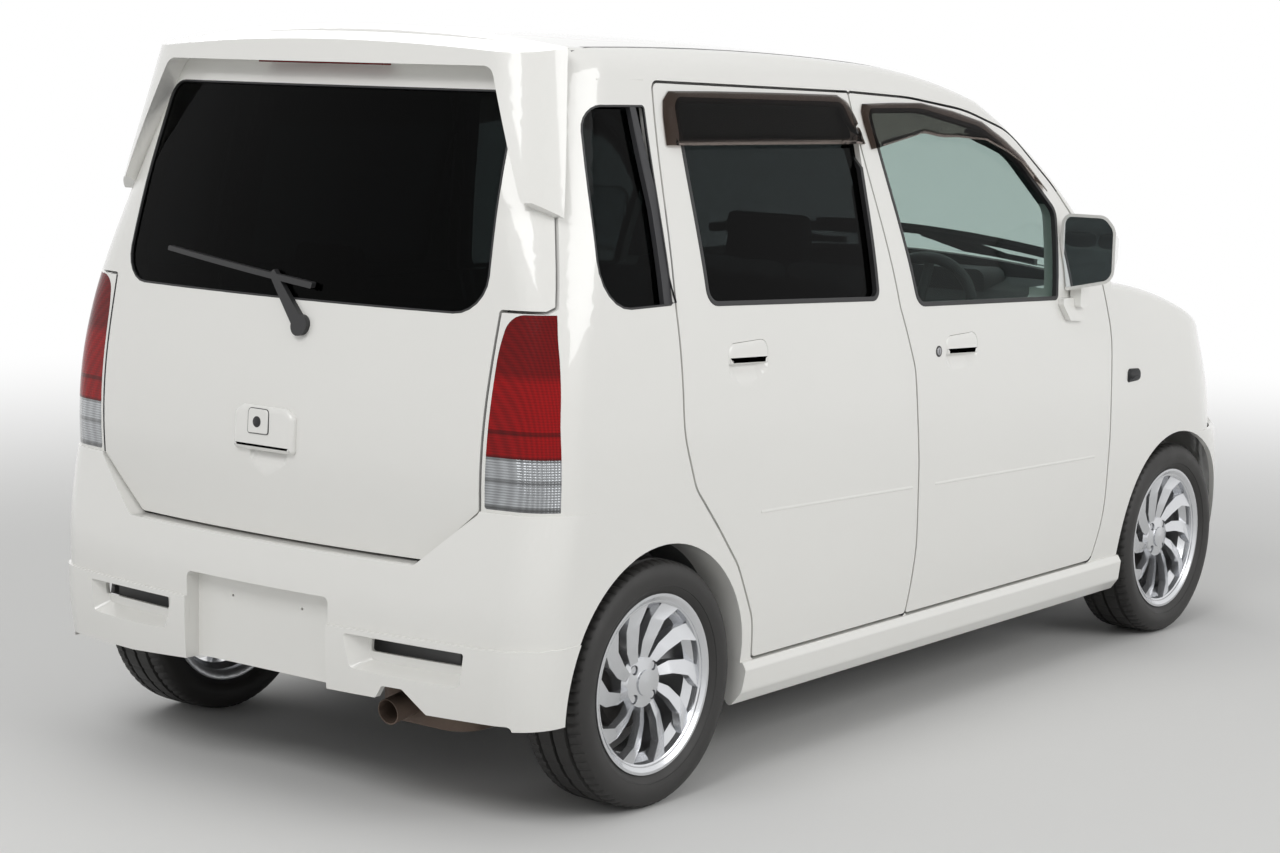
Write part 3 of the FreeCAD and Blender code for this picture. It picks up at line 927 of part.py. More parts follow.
rear_cushion = side_prism([(rear(330), REAR_FLOOR_TOP + FIT, 10.0), (rear(200), REAR_FLOOR_TOP + FIT, 10.0),
                           (rear(200), 610.0, 40.0), (rear(600), 640.0, 60.0), (rear(640), 560.0, 40.0),
                           (rear(600), FLOOR_TOP + FIT, 20.0), (rear(455), FLOOR_TOP + FIT, 10.0)], -515, 515)
rear_back = side_prism([(rear(90), REAR_FLOOR_TOP + FIT, 20.0), (rear(20), 1045.0, 40.0), (rear(110), 1060.0, 40.0),
                        (rear(196), 640.0, 40.0), (rear(198), REAR_FLOOR_TOP + FIT, 10.0)], -515, 515)
heads = [side_prism([(rear(30), 1050.0, 20.0), (rear(10), 1150.0, 30.0), (rear(75), 1160.0, 30.0),
                     (rear(95), 1050.0, 20.0)], y - 105, y + 105) for y in (-300.0, 300.0)]
keep("rear_seat", Part.makeCompound([rear_cushion, fuse([rear_back] + heads)]))

# Door mirrors on their feet
# columns: rear face and front face of the shell, from the rear axle
MIRROR_BACK = 1690.0
MIRROR_NOSE = 1768.0
MIRROR_FACE = [(-709.0, 1000.0, 24.0), (-709.0, 1203.0, 30.0), (-836.0, 1203.0, 40.0), (-866.0, 1170.0, 40.0),
               (-866.0, 1034.0, 40.0)]
foot = side_prism([(rear(x), z, 12.0) for x, z in ((1641, 988), (1690, 928), (1773, 922), (1773, 984))],
                  -800, -HALF_WIDTH / 2)
foot = foot.common(sides(-16.0, -16.0)).cut(sides(-FIT, -FIT))
stalk = side_prism([(rear(1712), 960.0, 10.0), (rear(1712), 1040.0, 10.0), (rear(1752), 1040.0, 10.0),
                    (rear(1760), 960.0, 10.0)], -762, -731).cut(sides(0.0, 0.0))
face = [(y, z, r) for y, z, r in MIRROR_FACE]
shell_back = outline(face)
shell_front = outline([(y * 0.62 + 0.38 * -782, z * 0.62 + 0.38 * 1108, r) for y, z, r in MIRROR_FACE])
for wire, x in ((shell_back, MIRROR_BACK), (shell_front, MIRROR_NOSE)):
    wire.rotate(V(0, 0, 0), V(1, 1, 1), 120)
    wire.translate(V(rear(x), 0, 0))
shell = Part.makeLoft([shell_back, shell_front], True, True)
hollow = rear_prism(grown(MIRROR_FACE, -8.0), rear(MIRROR_BACK - 5), rear(MIRROR_BACK + 8))
mirror_glass = rear_prism(grown(MIRROR_FACE, -8.0 - FIT), rear(MIRROR_BACK + 3), rear(MIRROR_BACK + 8 - FIT / 2))
mirror_glass = mirror_glass.cut(sides(-4.0, -4.0))
mirror = fuse([shell.cut(hollow).cut(sides(-4.0, -4.0)), stalk, foot])
keep("mirror_right", Part.makeCompound([mirror, mirror_glass]))
keep("mirror_left", mirrored(Part.makeCompound([mirror, mirror_glass])))

# Wipers lie on the glass: flat arms and blades cut from a thin shell above it
SCREEN_DEPTH = 1.0      # how far the windscreen's outer face lies below the crown
WIPER_HEIGHT = 13.0


def strip(a, b, width_a, width_b):
    """The four corners of a strip from a to b."""
    (ax, ay), (bx, by) = a, b
    length = math.hypot(bx - ax, by - ay)
    nx = -(by - ay) / length / 2
    ny = (bx - ax) / length / 2
    return [(ax + nx * width_a, ay + ny * width_a, 3.0), (bx + nx * width_b, by + ny * width_b, 3.0),
            (bx - nx * width_b, by - ny * width_b, 3.0), (ax - nx * width_a, ay - ny * width_a, 3.0)]


# columns: pivot X and Y, blade root X and Y, blade tip X and Y; X from the front axle
FRONT_WIPERS = ((-372.0, -470.0, -424.0, -130.0, -418.0, -560.0, 210.0),
                (-372.0, 150.0, -424.0, 420.0, -418.0, 60.0, 590.0))
above_screen = crown_solid(-WIPER_HEIGHT).cut(crown_solid(SCREEN_DEPTH - FIT))
wipers = []
for pivot_x, pivot_y, x, y, blade_x, y0, y1 in FRONT_WIPERS:
    arm = plan_prism(strip((front(pivot_x), pivot_y), (front(x), y), 26.0, 14.0), 950, 1300)
    blade_form = plan_prism(strip((front(blade_x), y0), (front(blade_x - 14), y1), 12.0, 10.0), 950, 1300)
    wipers.append(above_screen.common(arm.fuse(blade_form)))
keep("front_wipers", Part.makeCompound([s for w in wipers for s in w.Solids]))

REAR_WIPER_PIVOT = (-75.0, 1012.0)
REAR_WIPER_JOINT = (28.0, 1118.0)
REAR_WIPER_TIP = (379.0, 1146.0)
above_gate = sides(-WIPER_HEIGHT, -WIPER_HEIGHT).cut(sides(-FIT, -FIT))
arm = rear_prism(strip(REAR_WIPER_PIVOT, REAR_WIPER_JOINT, 30.0, 16.0), rear(-700), rear(-200))
blade_form = rear_prism(strip((-95.0, 1096.0), REAR_WIPER_TIP, 13.0, 10.0), rear(-700), rear(-200))
cap = Part.makeCylinder(22, 300, V(rear(-600), *REAR_WIPER_PIVOT), V(1, 0, 0))
keep("rear_wiper", above_gate.common(fuse([arm, blade_form, cap])))

# One STEP file for each piece
os.makedirs("parts", exist_ok=True)
for name, shape in NODES.items():
    shape.exportStep(os.path.join("parts", name + ".step"))
    print(name, len(shape.Solids), shape.isValid(), round(shape.Volume / 1e3))
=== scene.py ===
import json
import math
import bmesh
import bpy
from mathutils import Matrix, Vector
from mathutils.bvhtree import BVHTree


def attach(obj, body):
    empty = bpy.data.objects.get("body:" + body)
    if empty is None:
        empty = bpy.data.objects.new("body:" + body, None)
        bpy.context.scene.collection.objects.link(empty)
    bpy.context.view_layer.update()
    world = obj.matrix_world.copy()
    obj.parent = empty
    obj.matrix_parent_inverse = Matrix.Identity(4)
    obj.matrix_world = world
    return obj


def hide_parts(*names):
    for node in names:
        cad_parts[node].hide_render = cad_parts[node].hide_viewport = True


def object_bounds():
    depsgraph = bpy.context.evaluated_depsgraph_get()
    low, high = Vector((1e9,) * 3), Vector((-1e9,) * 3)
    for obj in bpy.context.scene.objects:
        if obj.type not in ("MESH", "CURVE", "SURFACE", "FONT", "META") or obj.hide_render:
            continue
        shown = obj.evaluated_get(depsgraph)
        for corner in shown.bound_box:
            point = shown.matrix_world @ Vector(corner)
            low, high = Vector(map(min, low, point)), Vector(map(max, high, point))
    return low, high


# The small car stands on the ground at the origin, +X ahead, +Y to its left. Lengths along it
# are given from the rear or the front axle, as in the part's source.
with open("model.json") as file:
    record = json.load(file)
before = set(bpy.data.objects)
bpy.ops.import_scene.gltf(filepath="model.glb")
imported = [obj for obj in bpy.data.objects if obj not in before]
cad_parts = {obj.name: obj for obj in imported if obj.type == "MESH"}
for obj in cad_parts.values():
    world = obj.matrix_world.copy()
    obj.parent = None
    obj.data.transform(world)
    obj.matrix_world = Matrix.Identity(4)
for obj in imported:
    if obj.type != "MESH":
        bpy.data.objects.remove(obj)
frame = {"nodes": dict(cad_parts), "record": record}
cad_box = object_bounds()
REAR = -1.2075
FRONT = 1.1525
scene = bpy.context.scene
scene.view_settings.view_transform = "Standard"

# Camera: about five metres behind the right rear corner, at the eye height of someone who stands; its
# place, turn and lens were found from the wheels, lamps and corners in the photograph.
EYE = Vector((-5.62976, -4.08431, 1.60991))
YAW = 0.65879733
PITCH = -0.14133698
ROLL = 0.01916260
LENS_MM = 75.44
SENSOR_MM = 36.0
look = Vector((math.cos(YAW) * math.cos(PITCH), math.sin(YAW) * math.cos(PITCH), math.sin(PITCH)))
level = Vector((math.sin(YAW), -math.cos(YAW), 0))
upright = level.cross(look)
across = level * math.cos(ROLL) + upright * math.sin(ROLL)
upward = upright * math.cos(ROLL) - level * math.sin(ROLL)
lens = bpy.data.cameras.new("camera")
lens.lens = LENS_MM
lens.sensor_width = SENSOR_MM
camera = bpy.data.objects.new("camera", lens)
scene.collection.objects.link(camera)
camera.matrix_world = Matrix((
    (across.x, upward.x, -look.x, EYE.x),
    (across.y, upward.y, -look.y, EYE.y),
    (across.z, upward.z, -look.z, EYE.z),
    (0, 0, 0, 1)))
scene.camera = camera

# Stage: a pale floor that fades to white with distance, a white world for what the camera and
# the glossy surfaces see, and three large soft lamps.
FLOOR_SIZE = 60.0
FLOOR_COLOUR = (0.70, 0.70, 0.69, 1.0)
FADE_START = 2.4
FADE_END = 7.5
FLOOR_ROUGHNESS = 0.8
WORLD_LEVEL = 0.5
# columns: name, place, point it looks at, width, height, watts
LAMPS = (("key", (-6.5, -1.0, 6.0), (0, 0, 0.6), 4.0, 3.0, 180.0),
         ("side", (0.5, -7.5, 4.2), (0, 0, 0.6), 6.0, 3.0, 195.0),
         ("far", (3.0, 6.5, 5.0), (0, 0, 0.6), 6.0, 4.0, 95.0))


def math_node(tree, kind, *given):
    """A math node in a node tree, fed with outputs or plain numbers; returns its output."""
    made = tree.nodes.new("ShaderNodeMath")
    made.operation = kind
    for value, socket in zip(given, made.inputs):
        if isinstance(value, float):
            socket.default_value = value
        else:
            tree.links.new(value, socket)
    return made.outputs[0]


def background_share(tree):
    """1 for what the camera, a glossy surface or a glass sees."""
    rays = tree.nodes.new("ShaderNodeLightPath").outputs
    seen = math_node(tree, "MAXIMUM", rays["Is Camera Ray"], rays["Is Glossy Ray"])
    return math_node(tree, "MAXIMUM", seen, rays["Is Transmission Ray"])


world = bpy.data.worlds.new("studio")
scene.world = world
world.use_nodes = True
sky = world.node_tree
sky.nodes["Background"].inputs["Color"].default_value = (1, 1, 1, 1)
sky.nodes["Background"].inputs["Strength"].default_value = WORLD_LEVEL
white = sky.nodes.new("ShaderNodeBackground")
white.inputs["Color"].default_value = (1, 1, 1, 1)
blend = sky.nodes.new("ShaderNodeMixShader")
sky.links.new(background_share(sky), blend.inputs["Fac"])
sky.links.new(sky.nodes["Background"].outputs[0], blend.inputs[1])
sky.links.new(white.outputs[0], blend.inputs[2])
sky.links.new(blend.outputs[0], sky.nodes["World Output"].inputs["Surface"])

ground = bpy.data.materials.new("pale floor")
ground.use_nodes = True
tree = ground.node_tree
matt = tree.nodes["Principled BSDF"]
matt.inputs["Base Color"].default_value = FLOOR_COLOUR
matt.inputs["Roughness"].default_value = FLOOR_ROUGHNESS
coord = tree.nodes.new("ShaderNodeTexCoord")
reach = tree.nodes.new("ShaderNodeVectorMath")
reach.operation = "LENGTH"
fade = tree.nodes.new("ShaderNodeMapRange")
fade.interpolation_type = "SMOOTHSTEP"
fade.inputs["From Min"].default_value = FADE_START
fade.inputs["From Max"].default_value = FADE_END
glow = tree.nodes.new("ShaderNodeEmission")
blend = tree.nodes.new("ShaderNodeMixShader")
tree.links.new(coord.outputs["Object"], reach.inputs[0])
tree.links.new(reach.outputs["Value"], fade.inputs["Value"])
share = math_node(tree, "MULTIPLY", fade.outputs["Result"], background_share(tree))
tree.links.new(share, blend.inputs["Fac"])
tree.links.new(matt.outputs[0], blend.inputs[1])
tree.links.new(glow.outputs[0], blend.inputs[2])
tree.links.new(blend.outputs[0], tree.nodes["Material Output"].inputs["Surface"])
half = FLOOR_SIZE / 2
low_z = cad_box[0][2]
mesh = bpy.data.meshes.new("floor")
mesh.from_pydata([(-half, -half, low_z), (half, -half, low_z), (half, half, low_z), (-half, half, low_z)], [],
                 [(0, 1, 2, 3)])
mesh.materials.append(ground)
floor = bpy.data.objects.new("floor", mesh)
scene.collection.objects.link(floor)
for name, place, aim, width, height, watts in LAMPS:
    light = bpy.data.lights.new(name, "AREA")
    light.shape = "RECTANGLE"
    light.size = width
    light.size_y = height
    light.energy = watts
    lamp = bpy.data.objects.new(name, light)
    scene.collection.objects.link(lamp)
    lamp.location = place
    lamp.rotation_euler = (Vector(place) - Vector(aim)).to_track_quat("Z", "Y").to_euler()

# Painted panels: pressed steel sides, roof, doors, tailgate and bonnet with plastic bumpers, skirts
# and spoiler, all in one gloss off-white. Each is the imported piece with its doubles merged, so that
# its curves shine evenly; what faces the cabin is grey trim.
BODY_OF = {node: body for body, nodes in frame["record"]["behaviour"]["bodies"].items() for node in nodes}
CABIN_END = 0.9
CABIN_HEIGHT = 0.85
FACES_IN = -0.35
SAME_PLACE = 1e-5
SOFT_EDGE = math.radians(30.0)
PAINT = (0.80, 0.795, 0.765)


def finish_group():
    """The surface of a made thing: a tone that drifts, a roughness that drifts with it, a fine grain."""
    group = bpy.data.node_groups.new("surface finish", "ShaderNodeTree")
    sockets = group.interface
    sockets.new_socket("Color", in_out="INPUT", socket_type="NodeSocketColor")
    for label in ("Spread", "Roughness", "Scale", "Grain", "Depth"):
        sockets.new_socket(label, in_out="INPUT", socket_type="NodeSocketFloat")
    sockets.new_socket("Color", in_out="OUTPUT", socket_type="NodeSocketColor")
    sockets.new_socket("Roughness", in_out="OUTPUT", socket_type="NodeSocketFloat")
    sockets.new_socket("Normal", in_out="OUTPUT", socket_type="NodeSocketVector")
    nodes, links = group.nodes, group.links
    given = nodes.new("NodeGroupInput")
    result = nodes.new("NodeGroupOutput")
    place = nodes.new("ShaderNodeTexCoord")
    cloud = nodes.new("ShaderNodeTexNoise")
    cloud.inputs["Detail"].default_value = 4.0
    tone = nodes.new("ShaderNodeVectorMath")
    tone.operation = "SCALE"
    grain = nodes.new("ShaderNodeTexNoise")
    grain.inputs["Detail"].default_value = 2.0
    relief = nodes.new("ShaderNodeBump")
    relief.inputs["Strength"].default_value = 1.0
    links.new(place.outputs["Object"], cloud.inputs["Vector"])
    links.new(given.outputs["Scale"], cloud.inputs["Scale"])
    centred = math_node(group, "SUBTRACT", cloud.outputs["Fac"], 0.5)
    drift = math_node(group, "MULTIPLY", centred, given.outputs["Spread"])
    polish = math_node(group, "ADD", given.outputs["Roughness"], drift)
    polish.node.use_clamp = True
    links.new(given.outputs["Color"], tone.inputs[0])
    links.new(math_node(group, "ADD", drift, 1.0), tone.inputs["Scale"])
    links.new(place.outputs["Object"], grain.inputs["Vector"])
    links.new(given.outputs["Grain"], grain.inputs["Scale"])
    links.new(grain.outputs["Fac"], relief.inputs["Height"])
    links.new(given.outputs["Depth"], relief.inputs["Distance"])
    links.new(tone.outputs["Vector"], result.inputs["Color"])
    links.new(polish, result.inputs["Roughness"])
    links.new(relief.outputs["Normal"], result.inputs["Normal"])
    return group


FINISH = finish_group()


def material(name, color, roughness, spread=0.1, scale=6.0, grain=300.0, depth=0.0001, sockets=()):
    """A finish from the shared group; sockets are the shader's own fixed values."""
    made = bpy.data.materials.new(name)
    made.use_nodes = True
    nodes, links = made.node_tree.nodes, made.node_tree.links
    shader = nodes["Principled BSDF"]
    surface = nodes.new("ShaderNodeGroup")
    surface.name = "finish"
    surface.node_tree = FINISH
    surface.inputs["Color"].default_value = (*color, 1.0)
    for label, value in (("Spread", spread), ("Roughness", roughness), ("Scale", scale), ("Grain", grain),
                         ("Depth", depth)):
        surface.inputs[label].default_value = value
    links.new(surface.outputs["Color"], shader.inputs["Base Color"])
    links.new(surface.outputs["Roughness"], shader.inputs["Roughness"])
    links.new(surface.outputs["Normal"], shader.inputs["Normal"])
    for label, value in sockets:
        shader.inputs[label].default_value = value
    return made


def piece(name, mesh, materials, body):
    """Puts a finished mesh in the scene as a piece of the car."""
    for made in materials:
        mesh.materials.append(made)
    obj = bpy.data.objects.new(name, mesh)
    scene.collection.objects.link(obj)
    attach(obj, body)
    return obj


def merged(node, choose=None):
    """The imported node's mesh with its doubles merged and its soft edges smooth."""
    source = frame["nodes"][node].data
    mesh = bpy.data.meshes.new(node)
    mesh.from_pydata([v.co for v in source.vertices], [], [tuple(p.vertices) for p in source.polygons])
    work = bmesh.new()
    work.from_mesh(mesh)
    bmesh.ops.remove_doubles(work, verts=work.verts, dist=SAME_PLACE)
    bmesh.ops.dissolve_degenerate(work, edges=work.edges, dist=SAME_PLACE / 10)
    if choose:
        for face in work.faces:
            face.material_index = choose(face.calc_center_median(), face.normal)
    work.to_mesh(mesh)
    work.free()
    mesh.shade_smooth()
    mesh.set_sharp_from_angle(angle=SOFT_EDGE)
    return mesh


def finished(node, mesh, materials):
    """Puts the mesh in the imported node's place, with an even shine."""
    obj = piece(node + "_finished", mesh, materials, BODY_OF[node])
    obj.modifiers.new("even shine", "WEIGHTED_NORMAL").keep_sharp = True
    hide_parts(node)


def dressed(node, materials, choose=None):
    """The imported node, smoothed, in its real finish."""
    finished(node, merged(node, choose), materials)


def inward(centre, normal):
    """1 for a face that looks into the cabin."""
    core = Vector((max(-CABIN_END, min(CABIN_END, centre.x)), 0, CABIN_HEIGHT))
    return 1 if normal.dot((centre - core).normalized()) < FACES_IN else 0


paint = material("off-white paint", PAINT, 0.32, spread=0.02, scale=2.5, grain=220.0, depth=0.00002,
                 sockets=(("Coat Weight", 1.0), ("Coat Roughness", 0.04), ("Specular IOR Level", 0.4)))
trim = material("grey cabin trim", (0.115, 0.115, 0.12), 0.62, spread=0.12, scale=9.0, grain=900.0,
                depth=0.0002)
for node in ("side_frame_right", "side_frame_left", "roof_panel"):
    dressed(node, (paint, trim), inward)
for node in ("tailgate_spoiler", "bonnet", "front_fenders", "rear_bumper", "front_bumper", "side_skirts"):
    dressed(node, (paint,))

# Glass: toughened side and rear panes, dark tinted from the rear doors back, and a clear laminated
# windscreen; all are glued or held in rubber. A low index keeps them from mirroring the white room.
GLASS_INDEX = 1.12


def glass(name, color, shade):
    """Tinted glass that lets light through to the cabin; the shade is the tint of that light."""
    made = material(name, color, 0.02, spread=0.02, scale=4.0, grain=2.0, depth=0.00001,
                    sockets=(("Transmission Weight", 1.0), ("IOR", GLASS_INDEX)))
    nodes, links = made.node_tree.nodes, made.node_tree.links
    clear = nodes.new("ShaderNodeBsdfTransparent")
    clear.inputs["Color"].default_value = (*shade, 1.0)
    path = nodes.new("ShaderNodeLightPath")
    choice = nodes.new("ShaderNodeMixShader")
    links.new(path.outputs["Is Shadow Ray"], choice.inputs["Fac"])
    links.new(nodes["Principled BSDF"].outputs[0], choice.inputs[1])
    links.new(clear.outputs[0], choice.inputs[2])
    links.new(choice.outputs[0], nodes["Material Output"].inputs["Surface"])
    return made


privacy = glass("dark tinted glass", (0.02, 0.023, 0.024), (0.06, 0.066, 0.066))
door_glass = glass("green tinted glass", (0.40, 0.47, 0.45), (0.5, 0.56, 0.54))
screen_glass = glass("clear laminated glass", (0.80, 0.88, 0.85), (0.8, 0.86, 0.84))
dressed("fixed_glass", (screen_glass, privacy), lambda centre, normal: 0 if centre.x > 0 else 1)
for node in ("tailgate_glass", "door_glass_rear_right", "door_glass_rear_left"):
    dressed(node, (privacy,))
for node in ("door_glass_front_right", "door_glass_front_left"):
    dressed(node, (door_glass,))

# Rubber mouldings: black extruded strips pressed round every door window, and thin seals round the
# quarter glasses and the rear glass.
SIDES = (("right", -1), ("left", 1))
OUTLINE_STEP = 0.05
CORNER_STEPS = 7
CORNER_SHARE = 0.48
# how far outside a line its skin is felt, and how much further out the slope is taken
FEEL = 0.005
SLOPE_STEP = 0.004
# columns of an outline: along from the rear axle or across, up, corner radius, in mm
REAR_DOOR_GLASS = ((152, 1500, 24), (790, 1486, 34), (836, 1400, 60), (820, 1034, 26), (158, 1064, 36))
FRONT_DOOR_GLASS = ((895, 1471, 20), (1130, 1470, 500), (1400, 1422, 300), (1560, 1338, 200),
                    (1698, 1208, 40), (1652, 984, 15), (985, 1010, 40))
QUARTER_GLASS = ((-152, 1486, 60), (44, 1484, 8), (34, 1073, 8), (-208, 1073, 90))
REAR_GLASS = ((-540, 1064, 72), (-508, 1512, 46), (508, 1512, 46), (540, 1064, 72))
SKIN_NODES = ("side_frame_right", "side_frame_left", "roof_panel", "tailgate", "bonnet", "front_fenders",
              "rear_bumper", "front_bumper", "fixed_glass", "tailgate_glass", "tail_lamps", "headlamps",
              "door_front_right", "door_rear_right", "door_front_left", "door_rear_left")
DOOR_PANES = ("door_glass_front_right", "door_glass_rear_right", "door_glass_front_left",
              "door_glass_rear_left")


def skin_tree(names):
    """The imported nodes' faces, ready to be felt by a ray."""
    points, faces = [], []
    for name in names:
        source = frame["nodes"][name].data
        first = len(points)
        points += [v.co.copy() for v in source.vertices]
        faces += [[first + i for i in p.vertices] for p in source.polygons]
    return BVHTree.FromPolygons(points, faces)


SKIN = skin_tree(SKIN_NODES + DOOR_PANES)
# steps to the skin beside a place that has none, as in a gap
ASIDE = ((0, 0), (0, -0.008), (-0.008, 0), (0, 0.008), (0.008, 0), (-0.016, -0.016))
OUTSIDE = 1.5
BEHIND = -2.6


def on_side(x, z, side):
    """The body's skin at (x, z) and the way it faces, seen from the side."""
    for dx, dz in ASIDE:
        hit, normal, _, _ = SKIN.ray_cast(Vector((x + dx, side * OUTSIDE, z + dz)), Vector((0, -side, 0)))
        if hit is not None:
            return Vector((x, hit.y, z)), normal
    raise ValueError("no skin at %.3f, %.3f" % (x, z))


def side_skin(side):
    """The body's side as a surface: from (along from the rear axle, up) to a place and the way it faces."""
    return lambda point: on_side(REAR + point.x, point.y, side)


def back_skin(point):
    """The tailgate's skin at (across, up) and the way it faces."""
    hit, normal, _, _ = SKIN.ray_cast(Vector((BEHIND, point.x, point.y)), Vector((1, 0, 0)))
    return hit, normal


def rounded(points):
    """A closed outline in metres from (u, v, corner radius) rows in mm."""
    places = [Vector((u, v)) / 1000.0 for u, v, r in points]
    out = []
    for i, here in enumerate(places):
        back = places[i - 1] - here
        ahead = places[(i + 1) % len(places)] - here
        half_angle = back.angle(ahead) / 2
        run = min(points[i][2] / 1000.0 / math.tan(half_angle), back.length * CORNER_SHARE,
                  ahead.length * CORNER_SHARE)
        radius = run * math.tan(half_angle)
        hub = here + (back.normalized() + ahead.normalized()).normalized() * (radius / math.sin(half_angle))
        start = here + back.normalized() * run - hub
        end = here + ahead.normalized() * run - hub
        first = math.atan2(start.y, start.x)
        sweep = (math.atan2(end.y, end.x) - first + math.pi) % (2 * math.pi) - math.pi
        for k in range(CORNER_STEPS):
            angle = first + sweep * k / (CORNER_STEPS - 1)
            out.append(hub + Vector((math.cos(angle), math.sin(angle))) * radius)
    return out


def spaced(points, step=OUTLINE_STEP, closed=True):
    """The same line with its long runs divided."""
    out = []
    count = len(points)
    for i in range(count if closed else count - 1):
        here, there = points[i], points[(i + 1) % count]
        parts = max(1, math.ceil((there - here).length / step))
        out += [here.lerp(there, k / parts) for k in range(parts)]
    if not closed:
        out.append(points[-1])
    return out


def lofted(name, rows, materials, body, closed=True, ring=True, ends=False, angle=40.0):
    """A skin through rows of points: closed joins the last row to the first, ring closes each row."""
    count = len(rows[0])
    turns = len(rows) if closed else len(rows) - 1
    steps = count if ring else count - 1
    faces = []
    for i in range(turns):
        near, far = i * count, ((i + 1) % len(rows)) * count
        faces += [(near + j, near + (j + 1) % count, far + (j + 1) % count, far + j) for j in range(steps)]
    if ends:
        faces.append(tuple(range(count)))
        faces.append(tuple(range((len(rows) - 1) * count, len(rows) * count)))
    mesh = bpy.data.meshes.new(name)
    mesh.from_pydata([p for row in rows for p in row], [], faces)
    work = bmesh.new()
    work.from_mesh(mesh)
    bmesh.ops.remove_doubles(work, verts=work.verts, dist=SAME_PLACE)
    bmesh.ops.recalc_face_normals(work, faces=work.faces)
    work.to_mesh(mesh)
    work.free()
    mesh.shade_smooth()
    mesh.set_sharp_from_angle(angle=math.radians(angle))
    return piece(name, mesh, materials, body)


def skin_frames(line, surface, closed=True):
    """For each point of a line: its place on the skin, the way out of the line along it, the way off it."""
    area = sum(a.x * b.y - b.x * a.y for a, b in zip(line, line[1:] + line[:1]))
    frames = []
    count = len(line)
    for i, point in enumerate(line):
        before = line[i - 1] if closed or i > 0 else point
        after = line[(i + 1) % count] if closed or i < count - 1 else point
        run = (after - before).normalized()
        out = Vector((run.y, -run.x)) * (1 if area > 0 else -1)
        place, off = surface(point + out * FEEL)
        beyond, _ = surface(point + out * (FEEL + SLOPE_STEP))
        outward = (beyond - place).normalized()
        frames.append((place - outward * FEEL, outward, off))
    return frames


def moulding(name, line, surface, section, materials, body, closed=True):
    """A strip along a line on the skin; section rows are (out of the line, off the skin) in mm."""
    rows = [[place + outward * (u / 1000.0) + off * (v / 1000.0) for u, v in section]
            for place, outward, off in skin_frames(line, surface, closed)]
    return lofted(name, rows, materials, body, closed=closed, ends=not closed)


rubber = material("black rubber", (0.012, 0.012, 0.013), 0.45, spread=0.2, scale=20.0, grain=700.0,
                  depth=0.0001)
# columns of a section: out of the line, off the skin, in mm
WINDOW_SECTION = ((-9.0, -11.0), (-8.5, 0.6), (-3.0, 1.6), (1.5, 1.3), (2.5, -0.5), (-1.0, -1.5),
                  (-6.0, -12.0))
THIN_SECTION = ((-3.5, -4.0), (-3.0, 0.5), (0.5, 0.9), (1.8, -0.4), (-1.0, -4.0))
for side_name, side in SIDES:
    for outline, place, body in ((REAR_DOOR_GLASS, "rear_door", "door_rear_" + side_name),
                                 (FRONT_DOOR_GLASS, "front_door", "door_front_" + side_name)):
        moulding("window_rubber_%s_%s" % (place, side_name), spaced(rounded(outline)), side_skin(side),
                 WINDOW_SECTION, (rubber,), body)
    moulding("quarter_rubber_" + side_name, spaced(rounded(QUARTER_GLASS)), side_skin(side), THIN_SECTION,
             (rubber,), "body")
moulding("rear_glass_rubber", spaced(rounded(REAR_GLASS)), back_skin, THIN_SECTION, (rubber,), "tailgate")

# Doors: pressed steel leaves, each with a painted flap handle over a finger pocket; the front ones
# have a round lock behind the handle.
HANDLE_MOUTH = ((0, 22, 18), (0, 90, 26), (153, 93, 34), (153, 30, 40), (120, 0, 40), (25, 0, 22))
HANDLE_FLOOR = ((8, 46, 10), (8, 84, 20), (140, 86, 24), (136, 52, 14), (112, 36, 14), (28, 36, 10))
HANDLE_FLAP = ((2.5, 44, 2.5), (2.5, 87.5, 23), (148, 90.5, 30), (148, 38, 3))
# columns of levels: inset from the outline, height over the skin
FLAP_LEVELS = ((0, -11.0), (0, -0.6), (1.5, 0.8), (6, 2.2), (14, 2.8))
MOUTH_HEIGHT = 3.0
POCKET_DEPTH = 12.5
FRONT_HANDLE = (1100.0, 841.0)
REAR_HANDLE = (214.0, 889.0)
LOCK_PLACE = (1070.0, 896.0)
LOCK_RING = 13.5
LOCK_RING_LEVELS = ((0, -1), (0, 0.5), (1.5, 0.9))
LOCK_BARREL = 9.5
LOCK_BARREL_LEVELS = ((0, -1), (0, 1.3), (1.5, 1.9))
# half the key slot's width and height
KEY_SLOT = (0.9, 5.0)
KEY_SLOT_LEVELS = ((0, 1.0), (0, 2.0))


def shrunk(line, distance):
    """The closed outline moved inwards by a distance."""
    area = sum(a.x * b.y - b.x * a.y for a, b in zip(line, line[1:] + line[:1]))
    out = []
    for i, point in enumerate(line):
        run = (line[(i + 1) % len(line)] - line[i - 1]).normalized()
        out.append(point - Vector((run.y, -run.x)) * (distance if area > 0 else -distance))
    return out


def shifted(outline, origin):
    """The outline's rows moved to an origin, in mm."""
    return [(u + origin[0], v + origin[1], r) for u, v, r in outline]


def circle(centre, radius, steps=28):
    """A circle in metres, from a centre and a radius in mm."""
    turns = [2 * math.pi * k / steps for k in range(steps)]
    return [Vector((centre[0] + radius * math.cos(turn), centre[1] + radius * math.sin(turn))) / 1000.0
            for turn in turns]


def plaque(name, line, surface, levels, materials, body, angle=30.0):
    """A raised plate on the skin; level rows are (inset, height) in mm."""
    rows = []
    for inset, height in levels:
        row = []
        for point in shrunk(line, inset / 1000.0):
            place, off = surface(point)
            row.append(place + off * (height / 1000.0))
        rows.append(row)
    return lofted(name, rows, materials, body, closed=False, ends=True, angle=angle)


